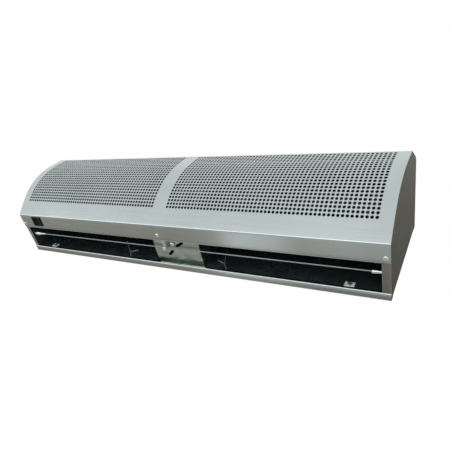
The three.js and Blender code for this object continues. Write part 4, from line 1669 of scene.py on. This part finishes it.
@dataclass(frozen=True)
class Lamp:
    """A square lamp that points at the unit: its place and size in metres and how bright its face is."""

    name: str
    place: Point
    size: float
    brightness: float
    spread: float = math.pi  # how widely its grid lets the light fan out

    def build(self) -> None:
        """Make the lamp, unseen by the camera and by the metal."""
        data = bpy.data.lights.new(self.name, "AREA")
        data.shape = "SQUARE"
        data.spread = self.spread
        data.size = self.size
        data.energy = self.brightness * math.pi * self.size ** 2
        lamp = put_in_scene(self.name, data)
        lamp.location = self.place
        lamp.rotation_euler = (-Vector(self.place)).to_track_quat("-Z", "Y").to_euler()
        lamp.visible_camera = False
        lamp.visible_glossy = False


def level_sheet(
    name: str, low: Pair, high: Pair, height: float, material: bpy.types.Material
) -> bpy.types.Object:
    """A level rectangle between two corners, in metres."""
    (xa, ya), (xb, yb) = low, high
    mesh = bpy.data.meshes.new(name)
    corners = [(xa, ya), (xb, ya), (xb, yb), (xa, yb)]
    mesh.from_pydata([(x, y, height) for x, y in corners], [], [(0, 1, 2, 3)])
    mesh.materials.append(material)
    return put_in_scene(name, mesh)


@dataclass(frozen=True)
class Board:
    """A level card or lit panel over the floor or above the unit, which shows only in reflections.

    Its tones are (share of the way, sRGB hex) pairs along its ramp. Its corners are in metres.
    """

    name: str
    low: Pair
    high: Pair
    tones: tuple[tuple[float, str], ...]
    height: float = -1.245  # just over the floor
    ramp: Axis = Axis.X
    brightness: float = 1.0

    def material(self) -> bpy.types.Material:
        """The card's glow, with its tones along its ramp."""
        material = bpy.data.materials.new(self.name)
        tree = empty_tree(material)
        axis = self.ramp.value
        own_place = add_node(tree, "ShaderNodeTexCoord").outputs["Object"]
        parts = add_node(tree, "ShaderNodeSeparateXYZ", links={0: own_place})
        ends = {"From Min": self.low[axis], "From Max": self.high[axis]}
        way = add_node(tree, "ShaderNodeMapRange", values=ends, links={"Value": parts.outputs[axis]})
        scale = add_node(tree, "ShaderNodeValToRGB", links={0: way.outputs["Result"]})
        marks = scale.color_ramp.elements
        for mark, (share, code) in zip((marks[0], marks[1]), (self.tones[0], self.tones[-1])):
            mark.position, mark.color = share, linear(code)
        for share, code in self.tones[1:-1]:
            marks.new(share).color = linear(code)
        glow = add_node(
            tree,
            "ShaderNodeEmission",
            values={"Strength": self.brightness},
            links={"Color": scale.outputs["Color"]},
        )
        add_node(tree, "ShaderNodeOutputMaterial", links={"Surface": glow.outputs["Emission"]})
        return material

    def build(self) -> None:
        """Make the card, seen by nothing but reflections."""
        card = level_sheet(self.name, self.low, self.high, self.height, self.material())
        card.visible_camera = False
        card.visible_diffuse = False
        card.visible_transmission = False
        card.visible_shadow = False


@dataclass
class Studio:
    """The camera, the white surroundings, the floor far below, the lamps and the cards for the metal."""

    eye: Point = (0.5552, -0.4779, -0.6643)
    aim: Point = (0.0392, 0.0443, 0.0147)
    roll: float = math.radians(40.38)
    lens: float = 33.637
    sensor: float = 36.0
    shift: Pair = (0.01344, 0.06396)
    clip: Pair = (0.02, 60.0)
    floor_height: float = -1.25
    floor_half: float = 6.0
    floor_paint: str = "#F1EFEB"
    daylight: str = "#FBFDFF"
    ambient: float = 0.55
    lamps: tuple[Lamp, ...] = (
        Lamp("front_softbox", (1.2, -2.1, 1.2), 2.6, 1.5),
        Lamp("rear_softbox", (-1.4, 2.2, 1.0), 2.0, 1.2),
        # A lamp with a grid, low in front, which shines up into the outlet and not on the floor.
        Lamp("outlet_softbox", (0.3, -1.6, -0.8), 1.2, 0.24, spread=math.radians(50)),
    )
    boards: tuple[Board, ...] = (
        Board(
            "strip_card",
            low=(-3.2, 0.55),
            high=(0.9, 0.85),
            tones=(
                (0.0, "#AEA69D"), (0.565, "#AEA69D"), (0.605, "#BEB9B2"), (0.632, "#F0EFED"),
                (0.690, "#EAE8E5"), (0.730, "#C0BBB6"), (0.80, "#C8C5C0"), (1.0, "#C3C0BA"),
            ),
        ),
        Board(
            "lip_card",
            low=(-3.2, 0.85),
            high=(0.9, 1.7),
            tones=(
                (0.0, "#908880"), (0.5, "#988F87"), (0.64, "#AAA59F"), (0.75, "#8E8680"), (1.0, "#7A736F"),
            ),
        ),
        Board("tray_card", low=(-3.2, 0.3), high=(0.9, 0.55), tones=((0.0, "#CFCFC9"), (1.0, "#D6D6D1"))),
        Board("fold_shade", low=(-3.2, -0.05), high=(0.9, 0.3), tones=((0.0, "#8A857E"), (1.0, "#8A857E"))),
        Board(
            "fold_panel",
            low=(-3.6, -1.7),
            high=(1.2, -0.55),
            tones=((0.0, WHITE), (1.0, WHITE)),
            brightness=2.1,
        ),
        Board(
            "end_card",
            low=(0.3, 0.2),
            high=(1.9, 1.7),
            tones=((0.0, "#797771"), (0.45, "#65635D"), (1.0, "#3A3936")),
            height=1.5,
            ramp=Axis.Y,
        ),
    )

    def add_camera(self) -> None:
        """Make the camera, below and in front of the unit and rolled, as the unit lies in the picture."""
        data = bpy.data.cameras.new("camera")
        data.sensor_width = self.sensor
        data.lens = self.lens
        data.shift_x, data.shift_y = self.shift
        data.clip_start, data.clip_end = self.clip
        camera = put_in_scene("camera", data)
        camera.location = self.eye
        way = Vector(self.aim) - Vector(self.eye)
        turned = way.to_track_quat("-Z", "Y") @ Quaternion((0, 0, 1), self.roll)
        camera.rotation_mode = "QUATERNION"
        camera.rotation_quaternion = turned
        bpy.context.scene.camera = camera

    def add_world(self) -> None:
        """White for the camera and in reflections, and a plain level of light on everything."""
        world = bpy.data.worlds.new("white_room")
        tree = empty_tree(world)
        ray = add_node(tree, "ShaderNodeLightPath")
        seen = add_node(
            tree,
            "ShaderNodeMath",
            links={0: ray.outputs["Is Camera Ray"], 1: ray.outputs["Is Glossy Ray"]},
            operation="MAXIMUM",
        )
        white = add_node(
            tree,
            "ShaderNodeMath",
            links={0: seen.outputs["Value"], 1: ray.outputs["Is Transmission Ray"]},
            operation="MAXIMUM",
        ).outputs["Value"]
        plain = {"Color": linear(self.daylight), "Strength": self.ambient}
        light = add_node(tree, "ShaderNodeBackground", values=plain)
        pure = {"Color": linear(WHITE), "Strength": 1.0}
        backdrop = add_node(tree, "ShaderNodeBackground", values=pure)
        mix = add_node(
            tree,
            "ShaderNodeMixShader",
            links={0: white, 1: light.outputs["Background"], 2: backdrop.outputs["Background"]},
        )
        add_node(tree, "ShaderNodeOutputWorld", links={"Surface": mix.outputs["Shader"]})
        bpy.context.scene.world = world

    def add_floor(self) -> None:
        """A pale floor that takes the unit's shadow; metal mirrors it as white as the rest of the room."""
        material = bpy.data.materials.new("pale_floor")
        tree = empty_tree(material)
        ray = add_node(tree, "ShaderNodeLightPath")
        mirrored = add_node(
            tree,
            "ShaderNodeMath",
            links={0: ray.outputs["Is Glossy Ray"], 1: ray.outputs["Is Transmission Ray"]},
            operation="MAXIMUM",
        ).outputs["Value"]
        paint = add_node(tree, "ShaderNodeBsdfDiffuse", values={"Color": linear(self.floor_paint)})
        white = add_node(tree, "ShaderNodeEmission", values={"Color": linear(WHITE), "Strength": 1.0})
        mix = add_node(
            tree,
            "ShaderNodeMixShader",
            links={0: mirrored, 1: paint.outputs["BSDF"], 2: white.outputs["Emission"]},
        )
        add_node(tree, "ShaderNodeOutputMaterial", links={"Surface": mix.outputs["Shader"]})
        half = self.floor_half
        floor = level_sheet("floor", (-half, -half), (half, half), self.floor_height, material)

    def build(self) -> None:
        """Set up the studio."""
        self.add_camera()
        self.add_world()
        self.add_floor()
        for lamp in self.lamps:
            lamp.build()
        for board in self.boards:
            board.build()
        bpy.context.scene.view_settings.view_transform = "Standard"


def main() -> None:
    """Build the studio, then every sub-assembly in the order in which the unit goes together."""
    logging.basicConfig(level=logging.INFO, format="%(name)s %(message)s", stream=sys.stdout)
    Studio().build()
    bench = Bench()
    InnerPieces().build(bench)
    for word, side in SIDES:
        BlowerWheel(side, word).build(bench)
    RearCasing().build(bench)
    FrontCover().build(bench)
    for word, side in SIDES:
        EndPan(side, word).build(bench)
    for word, (x, depth) in FrontCover().screws.items():
        PanScrew(word, x, depth).build(bench)
    for part in (OutletTray(), GuardRod(), GuideFittings(), RockerSwitch()):
        part.build(bench)
    LOG.info("%d pieces finished", bench.placed)


if __name__ == "__main__":
    main()
